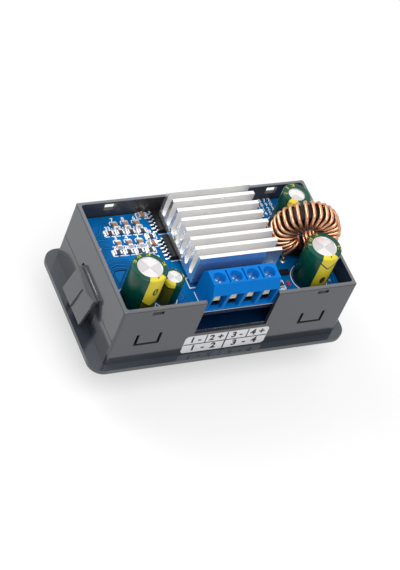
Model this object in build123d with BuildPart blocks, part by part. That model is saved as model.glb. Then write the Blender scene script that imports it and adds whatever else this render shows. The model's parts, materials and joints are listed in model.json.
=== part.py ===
"""Panel-mount buck-boost converter module: moulded case open at the rear, two boards, power parts, controls.

Frame: origin at the middle of the panel seat, the rear face of the bezel. +Z points to the module's rear,
+X along its length, and -Y to the side where the wires enter. Millimetres.
"""
import os
from math import cos, radians, sin, tan

from build123d import *

os.makedirs("parts", exist_ok=True)

# Bezel and case
BODY_L = 71.0
BODY_W = 39.0
BODY_H = 22.0
BODY_R = 0.8
DRAFT = 0.3
WALL = 1.2
BEZEL_L = 79.0
BEZEL_W = 43.0
BEZEL_T = 2.2
BEZEL_R = 4.5
BEZEL_EDGE = 1.0
FRONT_T = 2.0
LIP = 0.35

# Cable notch, snap tongues and snap windows in the long walls
NOTCH_W = 22.0
NOTCH_Z = 8.8
TONGUE_X = 25.1
TONGUE_W = 7.6
TONGUE_H = 4.6
TONGUE_Z = 7.0
TONGUE_SLIT = 0.85
HOOK_W = 4.0
HOOK_REACH = 0.9
HOOK_H = 1.7
SNAP_W = 3.4
SNAP_H = 1.2
SNAP_Z = 19.7
REAR_SNAP_H = 2.5
REAR_SNAP_Z = 18.6
POST = 2.6
LEDGE_W = 1.6
LEDGE_L = 4.0
LEDGE_Y = 12.0
PARTING_Z = 9.2
PARTING_W = 0.25
PARTING_D = 0.2

# Boards
BOARD_T = 1.6
BOARD_GAP = 0.3
CONTROL_Z = 6.4
POWER_Z = 14.7
CLEAR = 0.1

# Side clips
CLIP_W = 12.5
CLIP_Y = -0.5
CLIP_T = 1.1
CLIP_TOP = 11.7
CLIP_FOOT = 2.1
CLIP_TOP_PROUD = 1.4
CLIP_FOOT_PROUD = 3.75
CLIP_LIP_H = 0.7
CLIP_LIP_IN = 0.45
CLIP_STEP = 0.3
CLIP_BEAD_R = 1.1
CLIP_FIT = 0.05
CLIP_PIVOT_Z = 11.0
CLIP_PIVOT_IN = 0.9
CLIP_WEB = 0.7
CLIP_THROAT = 1.6
POCKET_DEPTH = 0.7
POCKET_MARGIN = 0.6
POCKET_FOOT = 0.8
POCKET_ABOVE = 1.0
POCKET_R = 1.0
BOSS_DEPTH = 2.0
BOSS_H = 3.6

# Display, keys and their switches; the pane's edges and the keys keep their distance from the body's sides
PANE_L = 42.0
PANE_END = 4.5
PANE_FRONT = 10.5
PANE_REAR = 4.5
PANE_T = 1.0
PANE_R = 1.2
PANE_SEAT = 2.0
GLASS_MARGIN = 0.5
GLASS_T = 1.8
LAMP_MARGIN = 0.6
KEY_L = 8.0
KEY_W = 3.6
KEY_PITCH = 12.0
KEY_IN = 5.3
KEY_PROUD = 0.8
KEY_RIM = 0.8
KEY_RIM_T = 0.8
KEY_PLAY = 0.15
KEY_STEM_D = 3.0
SWITCH_SIZE = 6.0
SWITCH_H = 3.5
PLUNGER_D = 3.4
PLUNGER_PROUD = 0.5
PLUNGER_L = 1.3
PLUNGER_BORE = 1.3

# Rotary encoder and knob
KNOB_X = -23.5
KNOB_Y = 3.0
ENCODER_SIZE = 12.0
ENCODER_H = 6.5
BUSH_D = 7.0
BUSH_L = 5.0
SHAFT_D = 6.0
SHAFT_FIT = 0.05
SHAFT_OUT = 11.9
SHAFT_IN = 1.1
SHAFT_FLAT = 1.5
FLAT_L = 5.4
PUSH_ROD_D = 3.0
PUSH_ROD_L = 3.0
PUSH_ROOM = 1.2
KNOB_D = 15.0
KNOB_TIP_D = 13.6
KNOB_H = 10.0
KNOB_GAP = 0.8
KNOB_FLUTES = 20
KNOB_FLUTE_D = 1.1
KNOB_WEB = 1.0
KNOB_FIT = 0.02

# Heatsink on its transistors, which stand at x and at a distance from the body's rear side
SINK_L = 25.0
SINK_H = 10.0
SINK_X = 1.5
SINK_FRONT = 10.25
SINK_REAR = 3.95
SINK_BASE = 2.0
FIN_COUNT = 8
FIN_TIP = 1.15
FIN_ROOT = 1.6
PACKAGE_L = 7.6
PACKAGE_W = 3.9
PACKAGE_H = 1.5
LEAD_W = 0.42
LEAD_T = 0.2
LEAD_REACH = 1.05
LEAD_PITCH = 1.27
LEADS_A_SIDE = 6
PACKAGE_SPOTS = [(-10.45, 5.6), (-10.45, 15.2), (10.2, 9.0), (10.2, 18.6)]
PAD_T = 0.3

# Capacitors: diameter, height, x and distance from the body's front side of each
CAPACITORS = {
    "capacitor_left": (10.0, 14.0, -27.4, 8.1),
    "capacitor_small": (6.0, 9.4, -19.1, 7.5),
    "capacitor_back": (8.1, 13.8, 25.2, 27.3),
    "capacitor_right": (10.0, 13.8, 25.5, 8.3),
}
SLEEVE_T = 0.15
SLEEVE_EDGE = 0.5
SLEEVE_LIP = 0.29
SLEEVE_FIT = 0.02
CAN_STANDOFF = 0.2
CAN_DISH = 0.25
CAN_LEAD_D = 0.6
CAN_LEAD_PITCH = 0.42
LEAD_HOLE = 0.2
LEAD_OUT = 1.0

# Wound ring core
CORE_OD = 17.4
CORE_ID = 9.4
CORE_H = 4.8
CORE_EDGE = 0.6
CORE_X = 24.8
CORE_IN = 17.4
CORE_YAW = 12.0
WIRE_D = 0.9
WIRE_AIR = 0.02
WIRE_CUT = 0.55
WIRE_SIDES = 8
TURNS = 26
TURN_STEP = 12.5
TURN_START = -80.0
RING_AIR = 0.2

# Screw terminal; its profile is measured in from the body's front side
POLES = 4
POLE_PITCH = 5.04
POLE_X = 0.47
TERMINAL_L = 20.3
TERMINAL_FRONT = 1.6
TERMINAL_NOSE = 0.8
TERMINAL_NOSE_Z = 23.4
TERMINAL_TOP_Z = 26.65
TERMINAL_TOP_FRONT = 2.35
TERMINAL_TOP_BACK = 7.35
TERMINAL_BACK = 9.05
TERMINAL_BACK_Z = 24.2
TERMINAL_FLOOR = 0.6
MOUTH_W = 4.0
MOUTH_BACK = 7.6
WELL_D = 3.5
WELL_IN = 4.65
WELL_FLOOR = 0.6
GROOVE_W = 0.5
GROOVE_D = 0.6
GROOVE_L = 4.0
SCREW_HEAD_D = 3.1
SCREW_HEAD_H = 1.0
SCREW_SHANK_D = 2.5
SCREW_SLOT_W = 0.6
SCREW_SLOT_D = 0.5
SCREW_FIT = 0.06
CAGE_W = 3.6
CAGE_D = 3.5
CAGE_H = 3.9
CAGE_T = 0.6
CAGE_SIDE = 0.5
CONTACT_W = 2.3
CONTACT_T = 0.6
CONTACT_FRONT = 2.5
CONTACT_UNDER = 0.15
TAB_W = 2.2
TAB_H = 1.5
TAB_T = 0.3
PIN_W = 1.0
PIN_T = 0.6
PIN_HOLE = 0.15
PIN_OUT = 1.2

# Chips on the power board: x, distance from the body's rear side and turn of each
CHIP_L = 2.0
CHIP_W = 1.25
CHIP_END = 0.42
CHIP_CAP_H = 0.85
CHIP_RES_H = 0.5
CHIP_CAPS = [
    (-24.3, 5.3, 90), (-21.0, 5.3, 90), (-17.7, 5.4, 90), (-15.1, 2.6, 0),
    (-25.5, 11.8, 90), (-22.3, 11.8, 90), (-19.0, 11.9, 90), (-15.6, 12.7, 0),
    (18.6, 3.9, 0), (18.8, 7.3, 0),
]
CHIP_RESISTORS = [
    (-26.6, 7.6, 0), (-23.4, 7.7, 0), (-20.2, 7.8, 0), (-16.9, 7.9, 0), (-15.2, 10.2, 0),
    (-26.6, 14.5, 0), (-23.4, 14.6, 0), (-20.2, 14.7, 0), (-17.0, 14.8, 0),
    (-20.4, 17.8, 0), (-17.0, 17.9, 0), (18.4, 10.7, 0), (16.2, 31.9, 90),
]
SMALL_PACKAGE = (2.9, 1.5, 1.0)
SMALL_PACKAGE_SPOT = (18.6, 28.1)
RED_CHIP = (0.8, 1.6, 0.45)
RED_CHIP_SPOT = (18.4, 31.9)

# Board to board header, controller chip and label
HEADER_PINS = 6
HEADER_PITCH = 2.54
HEADER_IN = 5.5
HEADER_W = 2.5
STRIP_H = 2.5
HEADER_PIN = 0.6
HEADER_HOLE = 0.1
SOCKET_GAP = 0.1
CONTROLLER_SIZE = 7.0
CONTROLLER_H = 1.4
CONTROLLER_X = 16.0
CONTROLLER_Y = 4.0
LABEL_L = 25.8
LABEL_H = 7.2
LABEL_R = 1.2
LABEL_T = 0.12
LABEL_Z = 0.4
LABEL_RIM = 0.1
LABEL_DEPTH = 0.15

# Worked out from the sizes above
FLOOR_Z = FRONT_T - BEZEL_T
FRONT_Z = -BEZEL_T
FRONT_Y = -BODY_W / 2
REAR_Y = BODY_W / 2
INNER_L = BODY_L - 2 * WALL
INNER_W = BODY_W - 2 * WALL
BOARD_L = INNER_L - 2 * BOARD_GAP
BOARD_W = INNER_W - 2 * BOARD_GAP
CONTROL_TOP = CONTROL_Z + BOARD_T
BOARD_TOP = POWER_Z + BOARD_T
PIVOT_X = -(BODY_L / 2 - CLIP_PIVOT_IN)
PANE_W = BODY_W - PANE_FRONT - PANE_REAR
PANE_X = BODY_L / 2 - PANE_END - PANE_L / 2
PANE_Y = (PANE_FRONT - PANE_REAR) / 2
KEY_Y = FRONT_Y + KEY_IN
SINK_W = BODY_W - SINK_FRONT - SINK_REAR
SINK_Y = (SINK_FRONT - SINK_REAR) / 2
CORE_Y = FRONT_Y + CORE_IN
WELL_Y = FRONT_Y + WELL_IN
PIN_Y = FRONT_Y + MOUTH_BACK - PIN_T / 2
HEADER_Y = REAR_Y - HEADER_IN
LEAN = radians(DRAFT)
LABEL_FACE = Plane(
    origin=(0, FRONT_Y + LABEL_DEPTH, 0), x_dir=(1, 0, 0), z_dir=(0, -cos(LEAN), sin(LEAN))
)


def save(piece, name):
    """Label a finished sub-part and write its STEP file."""
    piece.part.label = name
    export_step(piece.part, f"parts/{name}.step")


# Case: bezel, front plate and four drafted walls in one moulding
with BuildPart() as case:
    with BuildSketch(Plane.XY.offset(FRONT_Z)):
        RectangleRounded(BEZEL_L, BEZEL_W, BEZEL_R)
    extrude(amount=BEZEL_T)
    fillet(case.faces().sort_by(Axis.Z)[0].edges(), BEZEL_EDGE)
    with BuildSketch():
        RectangleRounded(BODY_L, BODY_W, BODY_R)
    extrude(amount=BODY_H, taper=DRAFT)
    with BuildSketch(Plane.XY.offset(FLOOR_Z)):
        RectangleRounded(INNER_L, INNER_W, BODY_R)
    extrude(amount=BODY_H - FLOOR_Z, mode=Mode.SUBTRACT)
    chamfer(case.faces().sort_by(Axis.Z)[-1].outer_wire().edges(), LIP)
    # Faint parting groove across both short walls
    with BuildSketch(Plane.XZ.offset(FRONT_Y - CLEAR)):
        with Locations((-BODY_L / 2, PARTING_Z), (BODY_L / 2, PARTING_Z)):
            Rectangle(2 * PARTING_D, PARTING_W)
    extrude(amount=BODY_W + 2 * CLEAR, mode=Mode.SUBTRACT)
    # Posts under the power board and ledges under the control board
    with BuildSketch(Plane.XY.offset(FLOOR_Z)):
        with GridLocations(INNER_L - POST, INNER_W - POST, 2, 2):
            Rectangle(POST, POST)
    extrude(amount=POWER_Z - FLOOR_Z)
    with BuildSketch(Plane.XY.offset(FLOOR_Z)):
        with GridLocations(INNER_L - LEDGE_W, 2 * LEDGE_Y, 2, 2):
            Rectangle(LEDGE_W, LEDGE_L)
    extrude(amount=CONTROL_Z - FLOOR_Z)
    # Shallow recess for the label, and the cable notch above it, in the front long wall
    with BuildSketch(LABEL_FACE):
        with Locations((0, LABEL_Z - LABEL_RIM)):
            RectangleRounded(
                LABEL_L + 2 * LABEL_RIM,
                LABEL_H + 2 * LABEL_RIM,
                LABEL_R + LABEL_RIM,
                align=(Align.CENTER, Align.MIN),
            )
    extrude(amount=2 * LABEL_DEPTH, mode=Mode.SUBTRACT)
    with BuildSketch(Plane.XZ.offset(BODY_W / 2 - WALL - CLEAR)):
        with Locations((0, (NOTCH_Z + BODY_H + LIP) / 2)):
            Rectangle(NOTCH_W, BODY_H + LIP - NOTCH_Z)
    extrude(amount=WALL + 2 * CLEAR, mode=Mode.SUBTRACT)
    # Snap tongues, each freed by a U-shaped slit, in both long walls
    with BuildSketch(Plane.XZ.offset(-BODY_W)):
        with Locations((-TONGUE_X, TONGUE_Z), (TONGUE_X, TONGUE_Z)):
            Rectangle(TONGUE_W, TONGUE_H, align=(Align.CENTER, Align.MIN))
        with Locations((-TONGUE_X, TONGUE_Z + TONGUE_SLIT), (TONGUE_X, TONGUE_Z + TONGUE_SLIT)):
            Rectangle(
                TONGUE_W - 2 * TONGUE_SLIT,
                TONGUE_H,
                align=(Align.CENTER, Align.MIN),
                mode=Mode.SUBTRACT,
            )
    extrude(amount=2 * BODY_W, mode=Mode.SUBTRACT)
    # Snap windows near the rim, the rear wall's taller than the front wall's
    for face, snap_z, snap_h in ((FRONT_Y, SNAP_Z, SNAP_H), (REAR_Y, REAR_SNAP_Z, REAR_SNAP_H)):
        with BuildSketch(Plane.XZ.offset(-face - WALL - CLEAR)):
            with Locations((-TONGUE_X, snap_z), (TONGUE_X, snap_z)):
                Rectangle(SNAP_W, snap_h, align=(Align.CENTER, Align.MIN))
        extrude(amount=2 * (WALL + CLEAR), mode=Mode.SUBTRACT)
    # Hooks on the tongues, over the control board
    for side in (-1, 1):
        wall = side * INNER_W / 2
        for x in (-TONGUE_X, TONGUE_X):
            with BuildSketch(Plane.YZ.offset(x - HOOK_W / 2)):
                with BuildLine():
                    Polyline(
                        (wall, CONTROL_TOP + CLEAR),
                        (wall - side * HOOK_REACH, CONTROL_TOP + CLEAR),
                        (wall, CONTROL_TOP + CLEAR + HOOK_H),
                        close=True,
                    )
                make_face()
            extrude(amount=HOOK_W)
    # Pocket, boss and bead socket for each side clip
    for side in (-1, 1):
        face = side * BODY_L / 2
        clip_pocket = Plane(origin=(face, CLIP_Y, POCKET_FOOT), x_dir=(0, 1, 0), z_dir=(1, 0, 0))
        with BuildSketch(clip_pocket):
            RectangleRounded(
                CLIP_W + 2 * POCKET_MARGIN,
                CLIP_TOP + POCKET_ABOVE - POCKET_FOOT,
                POCKET_R,
                align=(Align.CENTER, Align.MIN),
            )
        extrude(amount=POCKET_DEPTH, both=True, mode=Mode.SUBTRACT)
        with BuildSketch(Plane.XZ.offset(-CLIP_Y)):
            with Locations((side * (INNER_L / 2 - BOSS_DEPTH / 2), CLIP_PIVOT_Z)):
                Rectangle(BOSS_DEPTH, BOSS_H)
        extrude(amount=CLIP_W / 2 + 2 * POCKET_MARGIN, both=True)
        with BuildSketch(Plane.XZ.offset(-CLIP_Y)):
            with Locations((-side * PIVOT_X, CLIP_PIVOT_Z)):
                Circle(CLIP_BEAD_R + CLIP_FIT)
            with Locations(((face - side * CLIP_PIVOT_IN / 2), CLIP_PIVOT_Z)):
                Rectangle(CLIP_PIVOT_IN, CLIP_THROAT)
        extrude(amount=CLIP_W / 2 + POCKET_MARGIN / 2, both=True, mode=Mode.SUBTRACT)
    # Front plate: display opening with its rebate, key holes and encoder hole
    with BuildSketch(Plane.XY.offset(FRONT_Z)):
        with Locations((PANE_X, PANE_Y)):
            RectangleRounded(PANE_L + 2 * CLEAR, PANE_W + 2 * CLEAR, PANE_R + CLEAR)
    extrude(amount=PANE_T, mode=Mode.SUBTRACT)
    with BuildSketch(Plane.XY.offset(FRONT_Z)):
        with Locations((PANE_X, PANE_Y)):
            Rectangle(PANE_L - 2 * PANE_SEAT, PANE_W - 2 * PANE_SEAT)
        with Locations((PANE_X, KEY_Y)):
            with GridLocations(KEY_PITCH, 1, 3, 1):
                RectangleRounded(KEY_L + 2 * KEY_PLAY, KEY_W + 2 * KEY_PLAY, KEY_W / 4)
        with Locations((KNOB_X, KNOB_Y)):
            Circle(BUSH_D / 2 + KEY_PLAY)
    extrude(amount=FRONT_T, mode=Mode.SUBTRACT)
save(case, "case")

# Side clips: a leaf that leans out to a turned-in lip, with a bead that turns in the wall's socket
LEAF_LEAN = CLIP_FOOT_PROUD - CLIP_TOP_PROUD
LEAF_TOP_X = -(BODY_L / 2 + CLIP_TOP_PROUD)
LEAF_FOOT_X = -(BODY_L / 2 + CLIP_FOOT_PROUD)
STEP_TOP = CLIP_TOP - 2.0
LIP_TOP = CLIP_FOOT + CLIP_LIP_H
STEP_TOP_X = LEAF_TOP_X - LEAF_LEAN * (CLIP_TOP - STEP_TOP) / (CLIP_TOP - LIP_TOP)
with BuildPart() as side_clip_left:
    with BuildSketch(Plane.XZ.offset(-CLIP_Y)):
        with BuildLine():
            Polyline(
                (LEAF_TOP_X, CLIP_TOP),
                (LEAF_FOOT_X, LIP_TOP),
                (LEAF_FOOT_X + CLIP_LIP_IN, CLIP_FOOT),
                (LEAF_FOOT_X + CLIP_T, CLIP_FOOT),
                (LEAF_TOP_X + CLIP_T, CLIP_TOP),
                close=True,
            )
        make_face()
        with BuildLine():
            Polyline(
                (LEAF_TOP_X + CLIP_T / 2, CLIP_PIVOT_Z - CLIP_WEB / 2),
                (PIVOT_X, CLIP_PIVOT_Z - CLIP_WEB / 2),
                (PIVOT_X, CLIP_PIVOT_Z + CLIP_WEB / 2),
                (LEAF_TOP_X + CLIP_T / 2, CLIP_PIVOT_Z + CLIP_WEB / 2),
                close=True,
            )
        make_face()
        with Locations((PIVOT_X, CLIP_PIVOT_Z)):
            Circle(CLIP_BEAD_R)
    extrude(amount=CLIP_W / 2, both=True)
    # The half of the leaf nearer the wire side is stepped back
    with BuildSketch(Plane.XZ.offset(-CLIP_Y)):
        with BuildLine():
            Polyline(
                (STEP_TOP_X - CLIP_STEP, STEP_TOP),
                (LEAF_FOOT_X - CLIP_STEP, CLIP_FOOT - CLIP_STEP),
                (LEAF_FOOT_X + CLIP_STEP, CLIP_FOOT - CLIP_STEP),
                (STEP_TOP_X + CLIP_STEP, STEP_TOP),
                close=True,
            )
        make_face()
    extrude(amount=CLIP_W / 2, mode=Mode.SUBTRACT)
save(side_clip_left, "side_clip_left")

with BuildPart() as side_clip_right:
    mirror(side_clip_left.part, about=Plane.YZ)
save(side_clip_right, "side_clip_right")

# Display: pane in the rebate, glass behind the plate, back light standing on the control board
with BuildPart() as display_window:
    with BuildSketch(Plane.XY.offset(FRONT_Z)):
        with Locations((PANE_X, PANE_Y)):
            RectangleRounded(PANE_L, PANE_W, PANE_R)
    extrude(amount=PANE_T)
save(display_window, "display_window")

with BuildPart() as display_glass:
    with BuildSketch(Plane.XY.offset(FLOOR_Z + CLEAR)):
        with Locations((PANE_X, PANE_Y)):
            Rectangle(PANE_L + 2 * GLASS_MARGIN, PANE_W + 2 * GLASS_MARGIN)
    extrude(amount=GLASS_T)
save(display_glass, "display_glass")

with BuildPart() as back_light:
    with BuildSketch(Plane.XY.offset(FLOOR_Z + CLEAR + GLASS_T)):
        with Locations((PANE_X, PANE_Y)):
            Rectangle(PANE_L + 2 * LAMP_MARGIN, PANE_W + 2 * LAMP_MARGIN)
    extrude(amount=CONTROL_Z - (FLOOR_Z + CLEAR + GLASS_T))
    chamfer(back_light.edges().filter_by(Axis.Z), LIP)
save(back_light, "back_light")

# Keys and their switches, in a row under the display
SWITCH_FACE = CONTROL_Z - SWITCH_H
PLUNGER_FACE = SWITCH_FACE - PLUNGER_PROUD
for number in (1, 2, 3):
    key_x = PANE_X + (number - 2) * KEY_PITCH
    with BuildPart() as key:
        with BuildSketch(Plane.XY.offset(FRONT_Z - KEY_PROUD)):
            with Locations((key_x, KEY_Y)):
                RectangleRounded(KEY_L, KEY_W, KEY_W / 4)
        extrude(amount=KEY_PROUD + FRONT_T)
        chamfer(key.faces().sort_by(Axis.Z)[0].edges(), LIP)
        with BuildSketch(Plane.XY.offset(FLOOR_Z + CLEAR / 2)):
            with Locations((key_x, KEY_Y)):
                RectangleRounded(KEY_L + 2 * KEY_RIM, KEY_W + 2 * KEY_RIM, KEY_W / 4)
        extrude(amount=KEY_RIM_T)
        with BuildSketch(Plane.XY.offset(FLOOR_Z)):
            with Locations((key_x, KEY_Y)):
                Circle(KEY_STEM_D / 2)
        extrude(amount=PLUNGER_FACE - FLOOR_Z)
    save(key, f"key_{number}")

    with BuildPart() as switch_body:
        with BuildSketch(Plane.XY.offset(SWITCH_FACE)):
            with Locations((key_x, KEY_Y)):
                RectangleRounded(SWITCH_SIZE, SWITCH_SIZE, LIP)
        extrude(amount=SWITCH_H)
        with BuildSketch(Plane.XY.offset(SWITCH_FACE)):
            with Locations((key_x, KEY_Y)):
                Circle(PLUNGER_D / 2 + CLEAR)
        extrude(amount=PLUNGER_BORE, mode=Mode.SUBTRACT)
    save(switch_body, f"key_switch_{number}")

    with BuildPart() as switch_plunger:
        with BuildSketch(Plane.XY.offset(PLUNGER_FACE)):
            with Locations((key_x, KEY_Y)):
                Circle(PLUNGER_D / 2)
        extrude(amount=PLUNGER_L)
    save(switch_plunger, f"key_plunger_{number}")

# Rotary encoder: square body with a round bush, a shaft with a flat, and the rod that it pushes
ENCODER_FACE = CONTROL_Z - ENCODER_H
with BuildPart() as encoder_body:
    with BuildSketch(Plane.XY.offset(ENCODER_FACE)):
        with Locations((KNOB_X, KNOB_Y)):
            RectangleRounded(ENCODER_SIZE, ENCODER_SIZE, LIP)
    extrude(amount=ENCODER_H)
    with BuildSketch(Plane.XY.offset(ENCODER_FACE - BUSH_L)):
        with Locations((KNOB_X, KNOB_Y)):
            Circle(BUSH_D / 2)
    extrude(amount=BUSH_L)
    with BuildSketch(Plane.XY.offset(ENCODER_FACE - BUSH_L)):
        with Locations((KNOB_X, KNOB_Y)):
            Circle(SHAFT_D / 2 + SHAFT_FIT)
    extrude(amount=BUSH_L + SHAFT_IN + PUSH_ROOM / 2, mode=Mode.SUBTRACT)
    with BuildSketch(Plane.XY.offset(ENCODER_FACE + SHAFT_IN)):
        with Locations((KNOB_X, KNOB_Y)):
            Circle(PUSH_ROD_D / 2 + SHAFT_FIT)
    extrude(amount=PUSH_ROD_L + PUSH_ROOM, mode=Mode.SUBTRACT)
save(encoder_body, "encoder_body")

SHAFT_TIP = ENCODER_FACE - SHAFT_OUT
with BuildPart() as encoder_shaft:
    with BuildSketch(Plane.XY.offset(SHAFT_TIP)):
        with Locations((KNOB_X, KNOB_Y)):
            Circle(SHAFT_D / 2)
    extrude(amount=SHAFT_OUT + SHAFT_IN)
    chamfer(encoder_shaft.faces().sort_by(Axis.Z)[0].edges(), LIP)
    with BuildSketch(Plane.XY.offset(SHAFT_TIP)):
        with Locations((KNOB_X, KNOB_Y + SHAFT_D / 2)):
            Rectangle(SHAFT_D, 2 * SHAFT_FLAT)
    extrude(amount=FLAT_L, mode=Mode.SUBTRACT)
save(encoder_shaft, "encoder_shaft")

with BuildPart() as encoder_push_rod:
    with BuildSketch(Plane.XY.offset(ENCODER_FACE + SHAFT_IN)):
        with Locations((KNOB_X, KNOB_Y)):
            Circle(PUSH_ROD_D / 2)
    extrude(amount=PUSH_ROD_L)
save(encoder_push_rod, "encoder_push_rod")

# Knob: tapered, fluted, hollow round the bush, with a D-shaped bore
KNOB_BASE = FRONT_Z - KNOB_GAP
KNOB_TOP = KNOB_BASE - KNOB_H
with BuildPart() as knob:
    with BuildSketch(Plane.XY.offset(KNOB_TOP)):
        with Locations((KNOB_X, KNOB_Y)):
            Circle(KNOB_TIP_D / 2)
    with BuildSketch(Plane.XY.offset(KNOB_BASE)):
        with Locations((KNOB_X, KNOB_Y)):
            Circle(KNOB_D / 2)
    loft()
    with BuildSketch(Plane.XY.offset(KNOB_TOP)):
        with Locations((KNOB_X, KNOB_Y)):
            with PolarLocations(KNOB_D / 2, KNOB_FLUTES):
                Circle(KNOB_FLUTE_D / 2)
    extrude(amount=KNOB_H - KNOB_WEB, mode=Mode.SUBTRACT)
    with BuildSketch(Plane.XY.offset(KNOB_BASE)):
        with Locations((KNOB_X, KNOB_Y)):
            Circle(BUSH_D / 2 + KNOB_WEB / 2)
    extrude(amount=-(KNOB_BASE - SHAFT_TIP - FLAT_L + CLEAR), mode=Mode.SUBTRACT)
    with BuildSketch(Plane.XY.offset(SHAFT_TIP - KNOB_FIT)):
        with Locations((KNOB_X, KNOB_Y)):
            Circle(SHAFT_D / 2 + KNOB_FIT)
        with Locations((KNOB_X, KNOB_Y + SHAFT_D / 2)):
            Rectangle(SHAFT_D, 2 * (SHAFT_FLAT - KNOB_FIT), mode=Mode.SUBTRACT)
    extrude(amount=FLAT_L, mode=Mode.SUBTRACT)
save(knob, "knob")

# Control board, with its corners cut round the posts, and its controller chip
with BuildPart() as control_board:
    with BuildSketch(Plane.XY.offset(CONTROL_Z)):
        Rectangle(BOARD_L, BOARD_W)
        with GridLocations(INNER_L - POST, INNER_W - POST, 2, 2):
            Rectangle(POST + 2 * BOARD_GAP, POST + 2 * BOARD_GAP, mode=Mode.SUBTRACT)
        with Locations((0, HEADER_Y)):
            with GridLocations(HEADER_PITCH, 1, HEADER_PINS, 1):
                Rectangle(HEADER_PIN + 2 * HEADER_HOLE, HEADER_PIN + 2 * HEADER_HOLE, mode=Mode.SUBTRACT)
    extrude(amount=BOARD_T)
save(control_board, "control_board")

with BuildPart() as controller_chip:
    with BuildSketch(Plane.XY.offset(CONTROL_TOP)):
        with Locations((CONTROLLER_X, CONTROLLER_Y)):
            Rectangle(CONTROLLER_SIZE, CONTROLLER_SIZE)
    extrude(amount=CONTROLLER_H)
    chamfer(controller_chip.edges().filter_by(Axis.Z), LIP)
save(controller_chip, "controller_chip")

# Header between the boards: socket, strip and pins
HEADER_L = HEADER_PINS * HEADER_PITCH
STRIP_Z = POWER_Z - STRIP_H
with BuildPart() as header_socket:
    with BuildSketch(Plane.XY.offset(CONTROL_TOP)):
        with Locations((0, HEADER_Y)):
            Rectangle(HEADER_L, HEADER_W)
            with GridLocations(HEADER_PITCH, 1, HEADER_PINS, 1):
                Rectangle(HEADER_PIN + 2 * HEADER_HOLE, HEADER_PIN + 2 * HEADER_HOLE, mode=Mode.SUBTRACT)
    extrude(amount=STRIP_Z - SOCKET_GAP - CONTROL_TOP)
save(header_socket, "header_socket")

with BuildPart() as header_strip:
    with BuildSketch(Plane.XY.offset(STRIP_Z)):
        with Locations((0, HEADER_Y)):
            Rectangle(HEADER_L, HEADER_W)
            with GridLocations(HEADER_PITCH, 1, HEADER_PINS, 1):
                Rectangle(HEADER_PIN + 2 * HEADER_HOLE, HEADER_PIN + 2 * HEADER_HOLE, mode=Mode.SUBTRACT)
    extrude(amount=STRIP_H)
save(header_strip, "header_strip")

with BuildPart() as header_pins:
    with BuildSketch(Plane.XY.offset(CONTROL_Z)):
        with Locations((0, HEADER_Y)):
            with GridLocations(HEADER_PITCH, 1, HEADER_PINS, 1):
                Rectangle(HEADER_PIN, HEADER_PIN)
    extrude(amount=BOARD_TOP + LEAD_OUT - CONTROL_Z)
save(header_pins, "header_pins")

# Ring core's own plane: its axis lies level and is turned a little from -Y
ring_yaw = radians(CORE_YAW)
RING_REACH = CORE_OD / 2 + WIRE_AIR + WIRE_D
CORE_Z = BOARD_TOP + RING_AIR + RING_REACH
ring = Plane(
    origin=(CORE_X, CORE_Y, CORE_Z),
    x_dir=(cos(ring_yaw), -sin(ring_yaw), 0),
    z_dir=(-sin(ring_yaw), -cos(ring_yaw), 0),
)
WIRE_OUTER = CORE_OD / 2 + WIRE_AIR + WIRE_D / 2
WIRE_INNER = CORE_ID / 2 - WIRE_AIR - WIRE_D / 2
WIRE_SIDE = CORE_H / 2 + WIRE_AIR + WIRE_D / 2


def ring_point(radius, angle, side):
    """A point of the winding: distance from the ring's axis, angle round it and side of the core."""
    turn = radians(angle)
    return ring.from_local_coords((radius * cos(turn), radius * sin(turn), side * WIRE_SIDE))


corners = []
for turn_number in range(TURNS):
    angle = TURN_START + turn_number * TURN_STEP
    corners.append(ring_point(WIRE_OUTER, angle, -1))
    corners.append(ring_point(WIRE_OUTER, angle, 1))
    corners.append(ring_point(WIRE_INNER, angle, 1))
    corners.append(ring_point(WIRE_INNER, angle, -1))
corners.append(ring_point(WIRE_OUTER, TURN_START + TURNS * TURN_STEP, -1))
corners.append(ring_point(WIRE_OUTER, TURN_START + TURNS * TURN_STEP, 1))
lead_ends = [Vector(end.X, end.Y, POWER_Z - LEAD_OUT) for end in (corners[0], corners[-1])]
corners = [lead_ends[0]] + corners + [lead_ends[1]]

# The wire bends in two steps at each corner
route = [corners[0]]
for before, corner, after in zip(corners, corners[1:], corners[2:]):
    route.append(corner + (before - corner).normalized() * WIRE_CUT)
    route.append(corner + (after - corner).normalized() * WIRE_CUT)
route.append(corners[-1])

with BuildPart() as inductor_core:
    with BuildSketch(ring):
        Circle(CORE_OD / 2)
        Circle(CORE_ID / 2, mode=Mode.SUBTRACT)
    extrude(amount=CORE_H / 2, both=True)
    chamfer(inductor_core.edges().filter_by(GeomType.CIRCLE), CORE_EDGE)
save(inductor_core, "inductor_core")

with BuildPart() as inductor_winding:
    with BuildLine() as wire_route:
        Polyline(*route)
    with BuildSketch(Plane(origin=wire_route.line @ 0, z_dir=wire_route.line % 0)):
        RegularPolygon(WIRE_D / 2, WIRE_SIDES)
    sweep(transition=Transition.RIGHT)
save(inductor_winding, "inductor_winding")

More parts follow.
